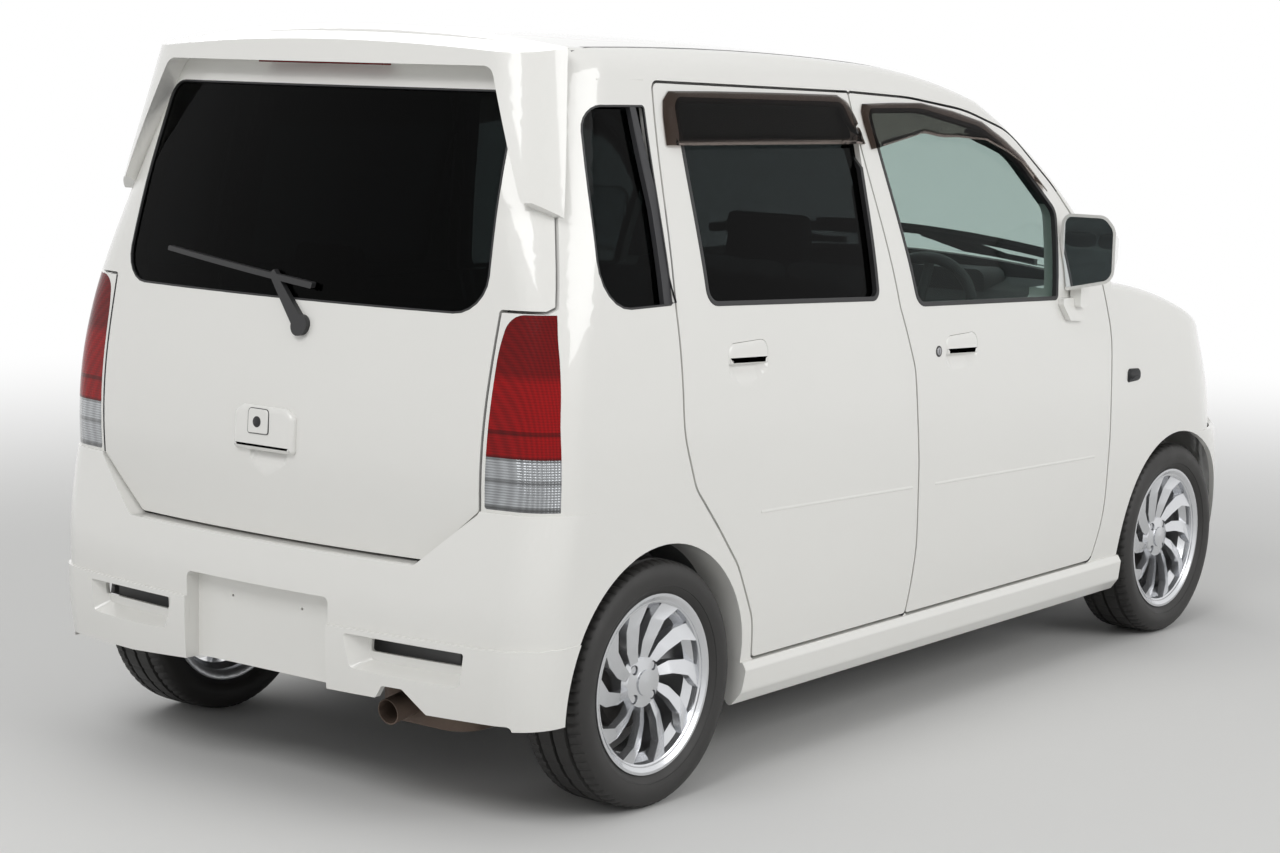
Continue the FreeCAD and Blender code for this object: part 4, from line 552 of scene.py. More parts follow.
def plug(work, mouth, floor, surface, out, above, depth):
    """Adds a closed plug to the work mesh, from an outline over the skin to another below it."""
    rings = []
    for line, height in ((mouth, above), (floor, -depth)):
        rings.append([work.verts.new(surface(point)[0] + out * (height / 1000.0)) for point in line])
    count = len(mouth)
    for k in range(count):
        work.faces.new((rings[0][k], rings[0][(k + 1) % count], rings[1][(k + 1) % count], rings[1][k]))
    work.faces.new(rings[0])
    work.faces.new(rings[1])


def evaluated_mesh(obj):
    """The object's mesh with its modifiers applied."""
    view = bpy.context.evaluated_depsgraph_get()
    return bpy.data.meshes.new_from_object(obj.evaluated_get(view), depsgraph=view)


def carved(node, materials, choose, work):
    """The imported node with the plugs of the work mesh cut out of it, smoothed, in its real finish."""
    bmesh.ops.recalc_face_normals(work, faces=work.faces)
    tool_mesh = bpy.data.meshes.new("plugs")
    work.to_mesh(tool_mesh)
    work.free()
    tool = bpy.data.objects.new("plugs", tool_mesh)
    mesh = merged(node, choose)
    for made in materials:
        mesh.materials.append(made)
    tool_mesh.materials.append(materials[0])
    block = bpy.data.objects.new("block", mesh)
    for obj in (tool, block):
        scene.collection.objects.link(obj)
    cut = block.modifiers.new("pockets", "BOOLEAN")
    cut.operation = "DIFFERENCE"
    cut.solver = "EXACT"
    cut.object = tool
    cut_mesh = evaluated_mesh(block)
    for obj in (tool, block):
        bpy.data.objects.remove(obj)
    cut_mesh.shade_smooth()
    cut_mesh.set_sharp_from_angle(angle=SOFT_EDGE)
    finished(node, cut_mesh, ())


lock_metal = material("lock metal", (0.35, 0.35, 0.36), 0.25, spread=0.1, scale=60.0, grain=400.0,
                      depth=0.00003, sockets=(("Metallic", 1.0),))
key_slot = [Vector((LOCK_PLACE[0] + u * KEY_SLOT[0], LOCK_PLACE[1] + v * KEY_SLOT[1])) / 1000.0
            for u, v in ((-1, -1), (1, -1), (1, 1), (-1, 1))]
for side_name, side in SIDES:
    for place, origin in (("front", FRONT_HANDLE), ("rear", REAR_HANDLE)):
        body = "door_%s_%s" % (place, side_name)
        work = bmesh.new()
        plug(work, rounded(shifted(HANDLE_MOUTH, origin)), rounded(shifted(HANDLE_FLOOR, origin)),
             side_skin(side), Vector((0, side, 0)), MOUTH_HEIGHT, POCKET_DEPTH)
        carved(body, (paint, trim), inward, work)
        plaque("handle_%s_%s" % (place, side_name), rounded(shifted(HANDLE_FLAP, origin)), side_skin(side),
               FLAP_LEVELS, (paint,), body)
    body = "door_front_" + side_name
    plaque("lock_ring_" + side_name, circle(LOCK_PLACE, LOCK_RING), side_skin(side), LOCK_RING_LEVELS,
           (rubber,), body)
    plaque("lock_" + side_name, circle(LOCK_PLACE, LOCK_BARREL), side_skin(side), LOCK_BARREL_LEVELS,
           (lock_metal,), body)
    plaque("lock_slot_" + side_name, key_slot, side_skin(side), KEY_SLOT_LEVELS, (rubber,), body)

# Press line and gutters: a soft crease along the doors, a line over the quarter glass, and the black
# strip that closes the joint between the roof and each side.
CREASE_SECTION = ((-7.0, -0.8), (-2.5, 0.5), (0.0, 1.3), (2.0, 0.6), (6.0, -0.8))
FINE_SECTION = ((-3.0, -0.5), (0.0, 0.9), (3.0, -0.5))
GUTTER_SECTION = ((-5.0, -3.0), (-5.0, 0.5), (-1.0, -0.8), (1.0, -0.8), (5.0, 0.5), (5.0, -3.0))
# columns: line in mm from the rear axle, door
CREASES = ((((345, 597), (600, 589), (968, 577.5)), "rear"),
           (((996, 576.5), (1300, 568), (1700, 557), (1872, 553)), "front"))
CREASE_STEP = 0.08
EMBOSS = ((-212, 1524), (-190, 1537), (-100, 1538), (52, 1538))
GUTTER_Y = 0.566
GUTTER_ENDS = (REAR - 0.135, FRONT - 0.985)
GUTTER_STEP = 0.04
ABOVE = 2.5


def top_skin(point):
    """The roof's skin at (along, across) in the frame and the way it faces."""
    hit, normal, _, _ = SKIN.ray_cast(Vector((point.x, point.y, ABOVE)), Vector((0, 0, -1)))
    return hit, normal


def in_metres(points):
    """Rows of two numbers in mm as points in metres."""
    return [Vector(point) / 1000.0 for point in points]


for side_name, side in SIDES:
    for line, place in CREASES:
        moulding("crease_%s_%s" % (place, side_name), spaced(in_metres(line), CREASE_STEP, False),
                 side_skin(side), CREASE_SECTION, (paint,), "door_%s_%s" % (place, side_name), False)
    moulding("emboss_" + side_name, in_metres(EMBOSS), side_skin(side), FINE_SECTION, (paint,), "body",
             False)
    gutter = spaced([Vector((x, side * GUTTER_Y)) for x in GUTTER_ENDS], GUTTER_STEP, False)
    moulding("roof_gutter_" + side_name, gutter, top_skin, GUTTER_SECTION, (rubber,), "body",
             False)

# Tailgate: a pressed steel door with a painted plate for its release, a small flap with the lock in
# it, and a finger recess below the plate.
GATE_PLATE = ((-91, 739, 9), (-91, 820, 16), (-66, 836, 34), (64, 836, 34), (88, 820, 16), (88, 739, 9))
GATE_PLATE_LEVELS = ((0, -2.0), (0, 5.0), (2, 9.0), (7, 12.5), (14, 13.4))
RECESS_MOUTH = ((-74, 765, 6), (54, 765, 6), (44, 704, 16), (-60, 704, 16))
RECESS_FLOOR = ((-66, 762, 6), (46, 762, 6), (40, 742, 12), (-56, 742, 12))
LOCK_FLAP = ((-20, 777, 5), (-20, 828, 9), (39, 828, 9), (39, 777, 4))
LOCK_FLAP_LEVELS = ((0, 12.5), (0, 14.2), (1.5, 15.2))
# a dark sheet just wider than the lock flap, under it: painted shade in the gap round the flap
FLAP_GAP_SHADE = 0.0016
FLAP_GAP_SHADE_LEVELS = ((0, 12.0), (0, 13.7))
GATE_RING = 11.5
GATE_RING_LEVELS = ((0, 14.5), (0, 15.6), (1.5, 15.9))
GATE_BARREL = 8.0
GATE_BARREL_LEVELS = ((0, 15.0), (0, 16.1), (1.2, 16.5))
GATE_LOCK = (12.0, 801.0)
RECESS_DEPTH = 15.0
black_steel = material("black plated steel", (0.025, 0.025, 0.027), 0.3, spread=0.1, scale=50.0, grain=500.0,
                       depth=0.00005, sockets=(("Metallic", 0.4),))
work = bmesh.new()
plug(work, rounded(RECESS_MOUTH), rounded(RECESS_FLOOR), back_skin, Vector((-1, 0, 0)), MOUTH_HEIGHT,
     RECESS_DEPTH)
carved("tailgate", (paint, trim), inward, work)
flap = rounded(LOCK_FLAP)
# columns: piece, outline, levels, material, slot
for name, line, levels, made, slot in (
        ("release_plate", rounded(GATE_PLATE), GATE_PLATE_LEVELS, paint, "paint"),
        # painted shade in the gap round the lock flap
        ("flap_gap_shade", shrunk(flap, -FLAP_GAP_SHADE), FLAP_GAP_SHADE_LEVELS, rubber, "black_plastic"),
        ("lock_flap", flap, LOCK_FLAP_LEVELS, paint, "paint"),
        ("lock_ring", circle(GATE_LOCK, GATE_RING), GATE_RING_LEVELS, rubber, "black_plastic"),
        ("lock", circle(GATE_LOCK, GATE_BARREL), GATE_BARREL_LEVELS, black_steel, "black_plastic")):
    plaque("gate_" + name, line, back_skin, levels, (made,), "tailgate")

# Visors: smoked acrylic rain guards, stuck to the door frames along their upper edge and standing off
# the glass below it.
VISOR_RISE = 12.0
VISOR_RUN = 24.0
VISOR_EDGE = 1.5
VISOR_ROWS = 6
VISOR_STEP = 0.03
VISOR_SHEET = 0.0025
# how far the door panes lie inside the skin beside them
GLASS_SET = 0.0135
# the line each visor is stuck along, in mm from the rear axle and up
REAR_VISOR = ((100, 1400), (103, 1460), (110, 1494), (132, 1513), (300, 1512), (550, 1508), (770, 1503),
              (804, 1490), (824, 1462), (842, 1428), (858, 1390))
FRONT_VISOR = ((884, 1378), (868, 1436), (864, 1466), (872, 1482), (1000, 1484), (1130, 1483), (1270, 1463),
               (1400, 1436), (1490, 1394), (1565, 1349), (1655, 1268))
# the rear visor's lower edge: its ends, its height and its fall per metre ahead
REAR_FOOT_SPAN = (0.124, 0.834)
REAR_FOOT = 1.3992
REAR_FALL = 0.012
# the front visor's: a rising part behind the knee, then a drop that shrinks to the tip
FRONT_FOOT = (0.905, 1.380)
FRONT_RISE = 0.15
FRONT_KNEE = 1.1
FRONT_TIP = 1.655
FRONT_TAPER = 0.45
FRONT_DROP = 0.062
FRONT_LEAN = 0.25
FRONT_LEAST = 0.012
# rows crowd towards the stuck edge, and the sheet curves away from it
VISOR_CROWD = 1.5
VISOR_CURVE = 0.6
GLASS_SKIN = skin_tree(DOOR_PANES)


def rear_visor_end(point):
    """Where the row that starts at this point ends: the rear visor's level lower edge."""
    x = max(REAR_FOOT_SPAN[0], min(REAR_FOOT_SPAN[1], point.x))
    return Vector((x, REAR_FOOT - REAR_FALL * point.x))


def front_visor_end(point):
    """The same for the front visor, whose lower edge nears the upper one towards the pillar."""
    if point.x < FRONT_KNEE:
        x = max(FRONT_FOOT[0], point.x)
        return Vector((x, FRONT_FOOT[1] + FRONT_RISE * max(0.0, point.x - FRONT_FOOT[0])))
    drop = FRONT_DROP * max(0.0, min(1.0, (FRONT_TIP - point.x) / FRONT_TAPER))
    return Vector((point.x - FRONT_LEAN * drop, point.y - drop - FRONT_LEAST))


def visor(name, path, end_of, side, body):
    """A sheet from its stuck edge out over the glass; each row runs down from a point of the edge."""
    rows = []
    for point in spaced(in_metres(path), VISOR_STEP, False):
        foot = end_of(point)
        run = (foot - point).length
        row = []
        for k in range(VISOR_ROWS + 1):
            reach = run * (k / VISOR_ROWS) ** VISOR_CROWD
            spot = point.lerp(foot, reach / run) if run > SAME_PLACE else point
            rise = VISOR_EDGE + VISOR_RISE * min(1.0, reach * 1000.0 / VISOR_RUN) ** VISOR_CURVE
            place, off = on_side(REAR + spot.x, spot.y, side)
            start = Vector((REAR + spot.x, side * OUTSIDE, spot.y))
            pane = GLASS_SKIN.ray_cast(start, Vector((0, -side, 0)))[0]
            if pane is not None and abs(pane.y - place.y) < SAME_PLACE:
                place = place + Vector((0, side * GLASS_SET, 0))
            row.append(place + off * (rise / 1000.0))
        rows.append(row)
    made = lofted(name, rows, (smoked,), body, closed=False, ring=False, angle=60.0)
    sheet = made.modifiers.new("thickness", "SOLIDIFY")
    sheet.thickness = VISOR_SHEET
    sheet.offset = 0.0
    return made


smoked = glass("smoked acrylic", (0.20, 0.17, 0.155), (0.30, 0.26, 0.24))
for side_name, side in SIDES:
    visor("visor_rear_" + side_name, REAR_VISOR, rear_visor_end, side, "door_rear_" + side_name)
    visor("visor_front_" + side_name, FRONT_VISOR, front_visor_end, side, "door_front_" + side_name)

# Small outside fittings: the matt strip in front of each quarter glass, the side marker lamps on the
# fenders, and the stub of the roof aerial.
QUARTER_STRIP = ((-4, 1486, 3), (15, 1486, 3), (30, 1385, 300), (42, 1273, 300), (40, 1150, 300),
                 (34, 1074, 3), (6, 1074, 3), (13, 1273, 300))
STRIP_LEVELS = ((0, -12.0), (0, -0.5), (1, 0.0))
MARKER = ((2035, 736, 9), (2035, 774, 12), (2104, 770, 14), (2106, 738, 12))
MARKER_BASE_LEVELS = ((0, -1.0), (0, 1.0), (1, 1.6))
MARKER_INSET = 0.002
MARKER_LENS_LEVELS = ((0, 0.5), (0.5, 4.0), (4, 6.5), (9, 7.2))
# both ends of the aerial's base in mm from the rear axle, its place across, and its sections: share of
# the length, half width and height in mm
AERIAL_ENDS = (1395, 1545)
AERIAL_Y = -0.512
AERIAL_SECTIONS = ((0.0, 3.0, 2.0), (0.1, 8.0, 9.0), (0.35, 10.0, 13.0), (0.7, 8.0, 9.0), (1.0, 3.0, 2.0))
AERIAL_ARC = 8
# the strip stands off the glass, level with the painted edge beside the door: that edge at two heights
STRIP_EDGE = ((1.075, 0.0375), (1.484, 0.059))


def strip_surface(side):
    """The skin of the painted edge beside the door, carried back over the glass."""
    def place_at(point):
        (low, low_x), (high, high_x) = STRIP_EDGE
        edge = low_x + (high_x - low_x) * (point.y - low) / (high - low)
        place, off = on_side(REAR + edge, point.y, side)
        return Vector((REAR + point.x, place.y, point.y)), off
    return place_at


strip_black = material("matt black strip", (0.03, 0.03, 0.033), 0.6, spread=0.15, scale=15.0, grain=900.0,
                       depth=0.0001)
marker_clear = glass("clear marker lens", (0.78, 0.79, 0.80), (0.70, 0.71, 0.72))
for side_name, side in SIDES:
    plaque("quarter_strip_" + side_name, spaced(rounded(QUARTER_STRIP)), strip_surface(side), STRIP_LEVELS,
           (strip_black,), "body")
    plaque("marker_base_" + side_name, rounded(MARKER), side_skin(side), MARKER_BASE_LEVELS, (rubber,),
           "body")
    plaque("marker_lens_" + side_name, shrunk(rounded(MARKER), MARKER_INSET), side_skin(side),
           MARKER_LENS_LEVELS, (marker_clear,), "body")
arc = [math.pi * k / AERIAL_ARC for k in range(AERIAL_ARC + 1)]
base_rows = []
for share, half_width, tall in AERIAL_SECTIONS:
    along = AERIAL_ENDS[0] + (AERIAL_ENDS[1] - AERIAL_ENDS[0]) * share
    place, off = top_skin(Vector((REAR + along / 1000.0, AERIAL_Y)))
    base_rows.append([place + Vector((0, half_width * math.cos(turn) / 1000.0, 0))
                      + off * (tall * math.sin(turn) / 1000.0 - 0.001) for turn in arc])
lofted("aerial_base", base_rows, (strip_black,), "body", closed=False, ends=True, angle=50.0)

# Tyres: radial road tyres with three grooves round the tread and cross cuts in its blocks, and a
# raised ring on the side wall, pressed onto the rims.
WHEEL_Y = 0.643
HUB_Z = 0.266
TYRE_STEPS = 288
BLOCK_STEPS = 4
# columns: distance outside the wheel's middle plane, radius, in mm
TYRE_SECTION = ((-62.7, 178.5), (-64.5, 186.0), (-66.0, 197.0), (-73.0, 207.0), (-79.5, 218.0),
                (-82.3, 230.0), (-81.5, 242.0), (-78.5, 251.0), (-74.0, 258.5), (-68.0, 263.5),
                (-60.0, 265.3),
                (-46.5, 266.3), (-44.0, 259.5), (-38.0, 259.5), (-35.5, 266.6), (-20.0, 266.9),
                (-4.5, 267.0), (-3.0, 259.5), (3.0, 259.5), (4.5, 267.0), (20.0, 266.9),
                (35.5, 266.6), (38.0, 259.5), (44.0, 259.5), (46.5, 266.3), (60.0, 265.3),
                (68.0, 263.5), (74.0, 258.5), (78.5, 251.0), (81.5, 242.0), (82.3, 230.0), (79.5, 218.0),
                (78.3, 213.0), (76.2, 212.0), (74.6, 208.0), (66.0, 197.0), (64.5, 186.0), (62.7, 178.5))
TREAD_HALF = 46.0
# columns of the cuts in the tread: radius they start at, depth
SHOULDER_CUT = (262.0, 3.5)
MIDDLE_CUT = (266.0, 2.0)
# the cuts lean this much round the tyre for each mm across
CUT_LAG = 0.0004
LAG_RADIUS = 255.0
tyre_rubber = material("tyre rubber", (0.022, 0.021, 0.020), 0.55, spread=0.35, scale=14.0, grain=500.0,
                       depth=0.0003)
for place, x in (("front", FRONT), ("rear", REAR)):
    for side_name, side in SIDES:
        rows = []
        for i in range(TYRE_STEPS):
            turn = 2 * math.pi * i / TYRE_STEPS
            row = []
            for t, r in TYRE_SECTION:
                drop = 0.0
                if r > SHOULDER_CUT[0] and abs(t) > TREAD_HALF and i % BLOCK_STEPS == 0:
                    drop = SHOULDER_CUT[1]
                if r > MIDDLE_CUT[0] and abs(t) < TREAD_HALF and (i + 2) % (2 * BLOCK_STEPS) == 0:
                    drop = MIDDLE_CUT[1]
                angle = turn + (CUT_LAG * abs(t) if r > LAG_RADIUS else 0.0)
                reach = (r - drop) / 1000.0
                row.append(Vector((x + reach * math.sin(angle), side * (WHEEL_Y + t / 1000.0),
                                   HUB_Z + reach * math.cos(angle))))
            rows.append(row)
        made = lofted("tyre_tread_%s_%s" % (place, side_name), rows, (tyre_rubber,),
                      "wheel_%s_%s" % (place, side_name), angle=28.0)
        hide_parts("tyre_%s_%s" % (place, side_name))

# Wheels: silver cast alloy with ten curved blades, a blank centre cap, four chromed nuts, and the
# dark iron of the brake behind.
BRAKE_OUT = 0.001
BRAKE_RADIUS = 0.117
NUT_CIRCLE = 0.045
NUT_OUT = 0.018
NUT_COUNT = 4
NUT_SIDES = 6
# columns: height, radius
NUT_SECTION = ((0.0, 0.0096), (0.009, 0.0096), (0.0125, 0.0082), (0.0145, 0.005), (0.0152, 0.0015))
alloy = material("silver alloy", (0.66, 0.67, 0.69), 0.24, spread=0.06, scale=12.0, grain=260.0,
                 depth=0.00003,
                 sockets=(("Metallic", 0.85), ("Coat Weight", 0.6), ("Coat Roughness", 0.05)))
iron = material("brake iron", (0.05, 0.046, 0.043), 0.55, spread=0.5, scale=30.0, grain=300.0, depth=0.0003,
                sockets=(("Metallic", 0.6),))
chrome = material("chromed steel", (0.80, 0.80, 0.80), 0.10, spread=0.05, scale=40.0, grain=200.0,
                  depth=0.00002, sockets=(("Metallic", 1.0),))


def add_nut(work, hub, side):
    """Adds one domed wheel nut to the work mesh, its axis across the car."""
    turned = Matrix.Translation(hub) @ Matrix.Rotation(math.radians(-90 * side), 4, "X")
    rays = [Vector((math.cos(turn), math.sin(turn), 0))
            for turn in (2 * math.pi * k / NUT_SIDES for k in range(NUT_SIDES))]
    loops = []
    for height, radius in NUT_SECTION:
        loops.append([work.verts.new(turned @ (ray * radius + Vector((0, 0, height)))) for ray in rays])
    for lower, upper in zip(loops, loops[1:]):
        for k in range(NUT_SIDES):
            work.faces.new((lower[k], lower[(k + 1) % NUT_SIDES], upper[(k + 1) % NUT_SIDES], upper[k]))
    work.faces.new(loops[-1])


for place, x in (("front", FRONT), ("rear", REAR)):
    for side_name, side in SIDES:
        def wheel_zone(centre, normal, x=x):
            out = abs(centre.y) - WHEEL_Y
            radius = math.hypot(centre.x - x, centre.z - HUB_Z)
            return 1 if out < BRAKE_OUT and radius < BRAKE_RADIUS else 0
        dressed("rim_%s_%s" % (place, side_name), (alloy, iron), wheel_zone)
        work = bmesh.new()
        for k in range(NUT_COUNT):
            angle = 2 * math.pi * (k + 0.5) / NUT_COUNT
            add_nut(work, Vector((x + NUT_CIRCLE * math.sin(angle), side * (WHEEL_Y + NUT_OUT),
                                  HUB_Z + NUT_CIRCLE * math.cos(angle))), side)
        bmesh.ops.recalc_face_normals(work, faces=work.faces)
        mesh = bpy.data.meshes.new("nuts")
        work.to_mesh(mesh)
        work.free()
        piece("wheel_nuts_%s_%s" % (place, side_name), mesh, (chrome,), "wheel_%s_%s" % (place, side_name))

# Tail lamps: tall moulded clusters let into the rear corners, red above and clear below, with fine
# upright ribs to the rear and a grid round the corner; the stop lamp hangs under the spoiler.
RED_LOW = 0.785
RED = (0.27, 0.002, 0.003)
CORNER_Y = 0.572
# what shows behind the lens: dark bars, painted shade on the top, the dark foot and painted highlights in the
# two reflector bowls; each tone multiplies the lens colour
BARS = (0.836, RED_LOW, 0.738)
BAR_HALF = 0.0035
BAR_SOFT = 0.002
BAR_TONE = 0.45
# painted shade: the lens is darker above this height
PAINTED_SHADE_TOP_Z = 0.935
PAINTED_SHADE_TOP_SOFT = 0.02
PAINTED_SHADE_TOP_TONE = 0.55
FOOT_Z = 0.688
FOOT_TONE = 0.25
EDGE_SOFT = 0.003
# painted highlights: two bright spots in the reflector bowls
PAINTED_GLINT_Y = 0.490
PAINTED_GLINT_LEVELS = (0.760, 0.713)
PAINTED_GLINT_CORE = 0.002
PAINTED_GLINT_RADIUS = 0.021
PAINTED_GLINT_TONE = 1.9
RIB_SHARE = 0.6
# the relief's lowest and highest sum, and the tones they give: painted shade in its troughs, painted
# highlight on its crests
RELIEF_SPAN = 1.6
RELIEF_SHADE_TONES = (0.72, 1.2)


def optics_group():
    """Moulded lens optics: upright ribs to the rear, a grid round the corner, bowls and bars behind, with
    painted shade and highlights in the tone.
    """
    group = bpy.data.node_groups.new("lens optics", "ShaderNodeTree")
    sockets = group.interface
    sockets.new_socket("Pitch", in_out="INPUT", socket_type="NodeSocketFloat")
    sockets.new_socket("Height", in_out="OUTPUT", socket_type="NodeSocketFloat")
    sockets.new_socket("Shade", in_out="OUTPUT", socket_type="NodeSocketFloat")
    nodes, links = group.nodes, group.links
    pitch = nodes.new("NodeGroupInput").outputs["Pitch"]
    result = nodes.new("NodeGroupOutput")
    split = nodes.new("ShaderNodeSeparateXYZ")
    links.new(nodes.new("ShaderNodeTexCoord").outputs["Object"], split.inputs[0])
    along, across, up = (split.outputs[axis] for axis in "XYZ")

    def calc(kind, *given):
        return math_node(group, kind, *given)

    def ramp(value, low, high, start=0.0, end=1.0):
        made = nodes.new("ShaderNodeMapRange")
        for name, number in (("From Min", low), ("From Max", high), ("To Min", start), ("To Max", end)):
            made.inputs[name].default_value = number
        links.new(value, made.inputs["Value"])
        return made.outputs["Result"]

    ribs, rungs, depths = (calc("SINE", calc("MULTIPLY", reach, pitch)) for reach in (across, up, along))
    corner = ramp(calc("ABSOLUTE", across), CORNER_Y - EDGE_SOFT, CORNER_Y + EDGE_SOFT)
    rear_side = calc("MULTIPLY_ADD", corner, -1.0, 1.0)
    grid = calc("MULTIPLY", calc("ADD", rungs, depths), corner)
    height = calc("ADD", calc("MULTIPLY", calc("MULTIPLY", ribs, rear_side), RIB_SHARE), grid)
    # the relief's height also paints shade in its troughs and highlight on its crests
    tone = ramp(height, -RELIEF_SPAN, RELIEF_SPAN, *RELIEF_SHADE_TONES)
    # painted shade over the top of the lens
    painted_top_shade = ramp(up, PAINTED_SHADE_TOP_Z, PAINTED_SHADE_TOP_Z + PAINTED_SHADE_TOP_SOFT, 1.0, PAINTED_SHADE_TOP_TONE)
    foot = ramp(up, FOOT_Z - EDGE_SOFT, FOOT_Z + EDGE_SOFT, FOOT_TONE, 1.0)
    tone = calc("MULTIPLY", calc("MULTIPLY", tone, painted_top_shade), foot)
    for level in BARS:
        off = calc("ABSOLUTE", calc("SUBTRACT", up, level))
        tone = calc("MULTIPLY", tone, ramp(off, BAR_HALF, BAR_HALF + BAR_SOFT, BAR_TONE, 1.0))
    # painted highlights in the two reflector bowls, brightest at their centres
    aside = calc("SUBTRACT", calc("ABSOLUTE", across), PAINTED_GLINT_Y)
    for level in PAINTED_GLINT_LEVELS:
        over = calc("SUBTRACT", up, level)
        reach = calc("SQRT", calc("ADD", calc("MULTIPLY", aside, aside), calc("MULTIPLY", over, over)))
        tone = calc("MULTIPLY", tone, ramp(reach, PAINTED_GLINT_CORE, PAINTED_GLINT_RADIUS, PAINTED_GLINT_TONE, 1.0))
    links.new(height, result.inputs["Height"])
    links.new(tone, result.inputs["Shade"])
    return group


OPTICS = optics_group()
RELIEF_DEPTH = 0.0006
RIB_PITCH = 1150.0
GRID_PITCH = 520.0


def lens_material(name, color, roughness, pitch, strength, sockets):
    """Moulded plastic lens with its optics in relief, and in a tone that holds painted shade and highlights.
    """
    made = material(name, color, roughness, spread=0.5, scale=9.0, grain=60.0, depth=0.00002, sockets=sockets)
    nodes, links = made.node_tree.nodes, made.node_tree.links
    optics = nodes.new("ShaderNodeGroup")
    optics.node_tree = OPTICS
    optics.inputs["Pitch"].default_value = pitch
    tone = nodes.new("ShaderNodeVectorMath")
    tone.operation = "SCALE"
    relief = nodes.new("ShaderNodeBump")
    relief.inputs["Strength"].default_value = strength
    relief.inputs["Distance"].default_value = RELIEF_DEPTH
    links.new(nodes["finish"].outputs["Color"], tone.inputs[0])
    links.new(optics.outputs["Shade"], tone.inputs["Scale"])
    links.new(tone.outputs["Vector"], nodes["Principled BSDF"].inputs["Base Color"])
    links.new(optics.outputs["Height"], relief.inputs["Height"])
    links.new(relief.outputs["Normal"], nodes["Principled BSDF"].inputs["Normal"])
    return made


red_lens = lens_material("red lamp lens", RED, 0.22, RIB_PITCH, 0.12,
                         (("Coat Weight", 0.2), ("Coat Roughness", 0.02), ("Specular IOR Level", 0.08)))
clear_lens = lens_material("clear lamp lens", (0.34, 0.355, 0.37), 0.14, RIB_PITCH, 0.7,
                           (("Coat Weight", 1.0), ("Coat Roughness", 0.02), ("Metallic", 0.5)))


def cut_level(mesh, level):
    """Splits the mesh's faces at a height, so that a colour can change there."""
    work = bmesh.new()
    work.from_mesh(mesh)
    bmesh.ops.bisect_plane(work, geom=work.verts[:] + work.edges[:] + work.faces[:], plane_co=(0, 0, level),
                           plane_no=(0, 0, 1))
    for face in work.faces:
        face.material_index = 0 if face.calc_center_median().z > level else 1
    work.to_mesh(mesh)
    work.free()


mesh = merged("tail_lamps")
cut_level(mesh, RED_LOW)
mesh.set_sharp_from_angle(angle=SOFT_EDGE)
lamps = piece("tail_lamp_lenses", mesh, (red_lens, clear_lens), "body")
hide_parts("tail_lamps")
dressed("stop_lamp", (red_lens,))

# Head lamps and grille: clear lenses over bright reflectors, and a black grille; the front isn't in
# the photograph, so both are plain.
lamp_clear = lens_material("head lamp lens", (0.55, 0.57, 0.59), 0.08, GRID_PITCH, 0.8,
                           (("Coat Weight", 1.0), ("Coat Roughness", 0.02), ("Metallic", 0.6)))
black_plastic = material("grained black plastic", (0.02, 0.02, 0.021), 0.5, spread=0.15, scale=12.0,
                         grain=1100.0, depth=0.0002)
dressed("headlamps", (lamp_clear,))
dressed("front_grille", (black_plastic,))

# Wipers: black painted arms and rubber blades on the windscreen and the rear glass.
dressed("front_wipers", (black_plastic,))
dressed("rear_wiper", (black_plastic,))

# Door mirrors: painted shells on painted feet with a silvered glass.
MIRROR_FACE_X = REAR + 1.698
MIRROR_SET = 0.006
FACES_BACK = -0.95
silvered = material("silvered glass", (0.80, 0.83, 0.85), 0.01, spread=0.01, scale=3.0, grain=1.0,
                    depth=0.00002, sockets=(("Metallic", 1.0),))


def mirror_zone(centre, normal):
    return 1 if normal.x < FACES_BACK and MIRROR_FACE_X - MIRROR_SET < centre.x < MIRROR_FACE_X else 0


for side_name, side in SIDES:
    dressed("mirror_" + side_name, (paint, silvered), mirror_zone)

# Running gear and underside: black painted frame parts, cast aluminium power unit, plain steel
# exhaust with surface rust, black plastic tank and grey painted floor.
chassis_black = material("black chassis paint", (0.02, 0.02, 0.021), 0.55, spread=0.4, scale=8.0, grain=120.0,
                         depth=0.0004)
rusty = material("rusted exhaust steel", (0.13, 0.095, 0.075), 0.6, spread=0.8, scale=22.0, grain=160.0,
                 depth=0.0006, sockets=(("Metallic", 0.5),))
cast = material("cast aluminium", (0.35, 0.35, 0.35), 0.5, spread=0.2, scale=10.0, grain=400.0, depth=0.0005,
                sockets=(("Metallic", 0.8),))
floor_paint = material("painted floor sheet", (0.10, 0.10, 0.10), 0.7, spread=0.3, scale=5.0, grain=90.0,
                       depth=0.0006)
dressed("exhaust", (rusty,))
dressed("fuel_tank", (black_plastic,))
for node, made in (("floor_pan", floor_paint), ("bulkhead", chassis_black), ("front_frame", chassis_black),
                   ("powertrain", cast), ("rear_axle", chassis_black), ("springs_dampers", chassis_black),
                   ("knuckle_right", chassis_black), ("knuckle_left", chassis_black)):
    dressed(node, (made,))

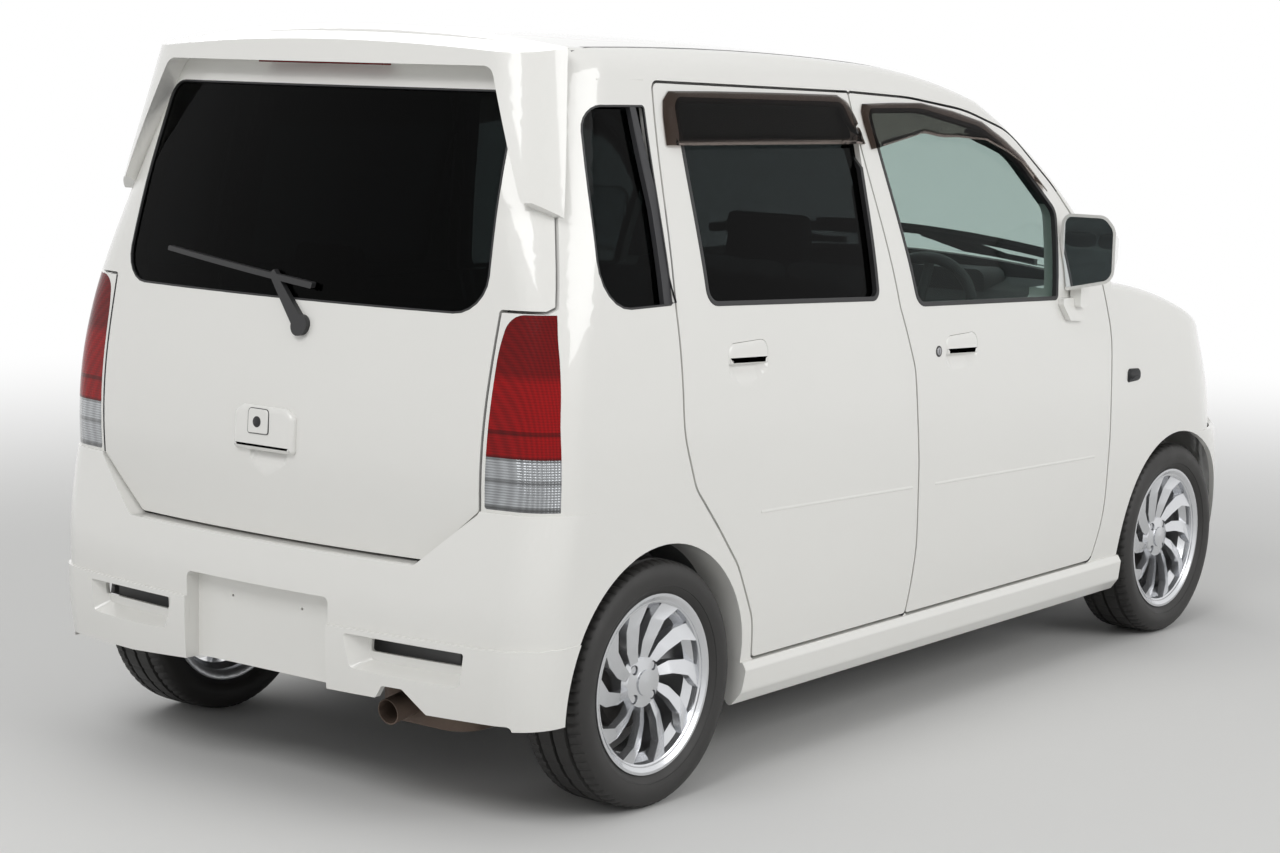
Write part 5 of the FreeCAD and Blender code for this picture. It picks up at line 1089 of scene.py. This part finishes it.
# Cabin: a moulded dashboard, a three-spoke steering wheel, seat frames and cloth seats. The cloth is
# made even, drawn in a little and blown up by a short run as sewn cloth.
dash_plastic = material("dashboard plastic", (0.05, 0.05, 0.053), 0.6, spread=0.12, scale=9.0, grain=800.0,
                        depth=0.0003)
dressed("dashboard", (dash_plastic,))
dressed("steering_wheel", (dash_plastic,))
dressed("seat_frames", (chassis_black,))
cloth = material("grey seat cloth", (0.13, 0.13, 0.14), 0.9, spread=0.25, scale=60.0, grain=1400.0,
                 depth=0.0008, sockets=(("Sheen Weight", 0.4),))
VOXEL = 0.012
DRAWN_IN = 0.007
SOFTENING = 4
PRESSURE = 4.0
SWELL_FRAMES = 20
SWELL_CAP = 0.011


def swollen(obj):
    """The piece's mesh made even and a little smaller, then blown up as sewn cloth, with a capped move."""
    even = obj.modifiers.new("even mesh", "REMESH")
    even.mode = "VOXEL"
    even.voxel_size = VOXEL
    mesh = evaluated_mesh(obj)
    obj.modifiers.clear()
    work = bmesh.new()
    work.from_mesh(mesh)
    work.normal_update()
    for vert in work.verts:
        vert.co -= vert.normal * DRAWN_IN
    for _ in range(SOFTENING):
        bmesh.ops.smooth_vert(work, verts=work.verts, factor=0.5, use_axis_x=True, use_axis_y=True,
                              use_axis_z=True)
    starts = [vert.co.copy() for vert in work.verts]
    work.to_mesh(mesh)
    work.free()
    obj.data = mesh
    fabric = obj.modifiers.new("swell", "CLOTH").settings
    fabric.use_pressure = True
    fabric.uniform_pressure_force = PRESSURE
    fabric.effector_weights.gravity = 0.0
    for number in range(1, SWELL_FRAMES + 1):
        scene.frame_set(number)
    mesh = evaluated_mesh(obj)
    obj.modifiers.clear()
    scene.frame_set(1)
    for vert, start in zip(mesh.vertices, starts):
        move = vert.co - start
        if move.length > SWELL_CAP:
            vert.co = start + move * (SWELL_CAP / move.length)
    obj.data = mesh


for node in ("front_seats", "rear_seat"):
    seat = piece(node + "_upholstery", merged(node), (cloth,), BODY_OF[node])
    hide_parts(node)
    swollen(seat)
    seat.data.shade_smooth()
    rounder = seat.modifiers.new("rounder", "SUBSURF")
    rounder.levels = 1
    rounder.render_levels = 1
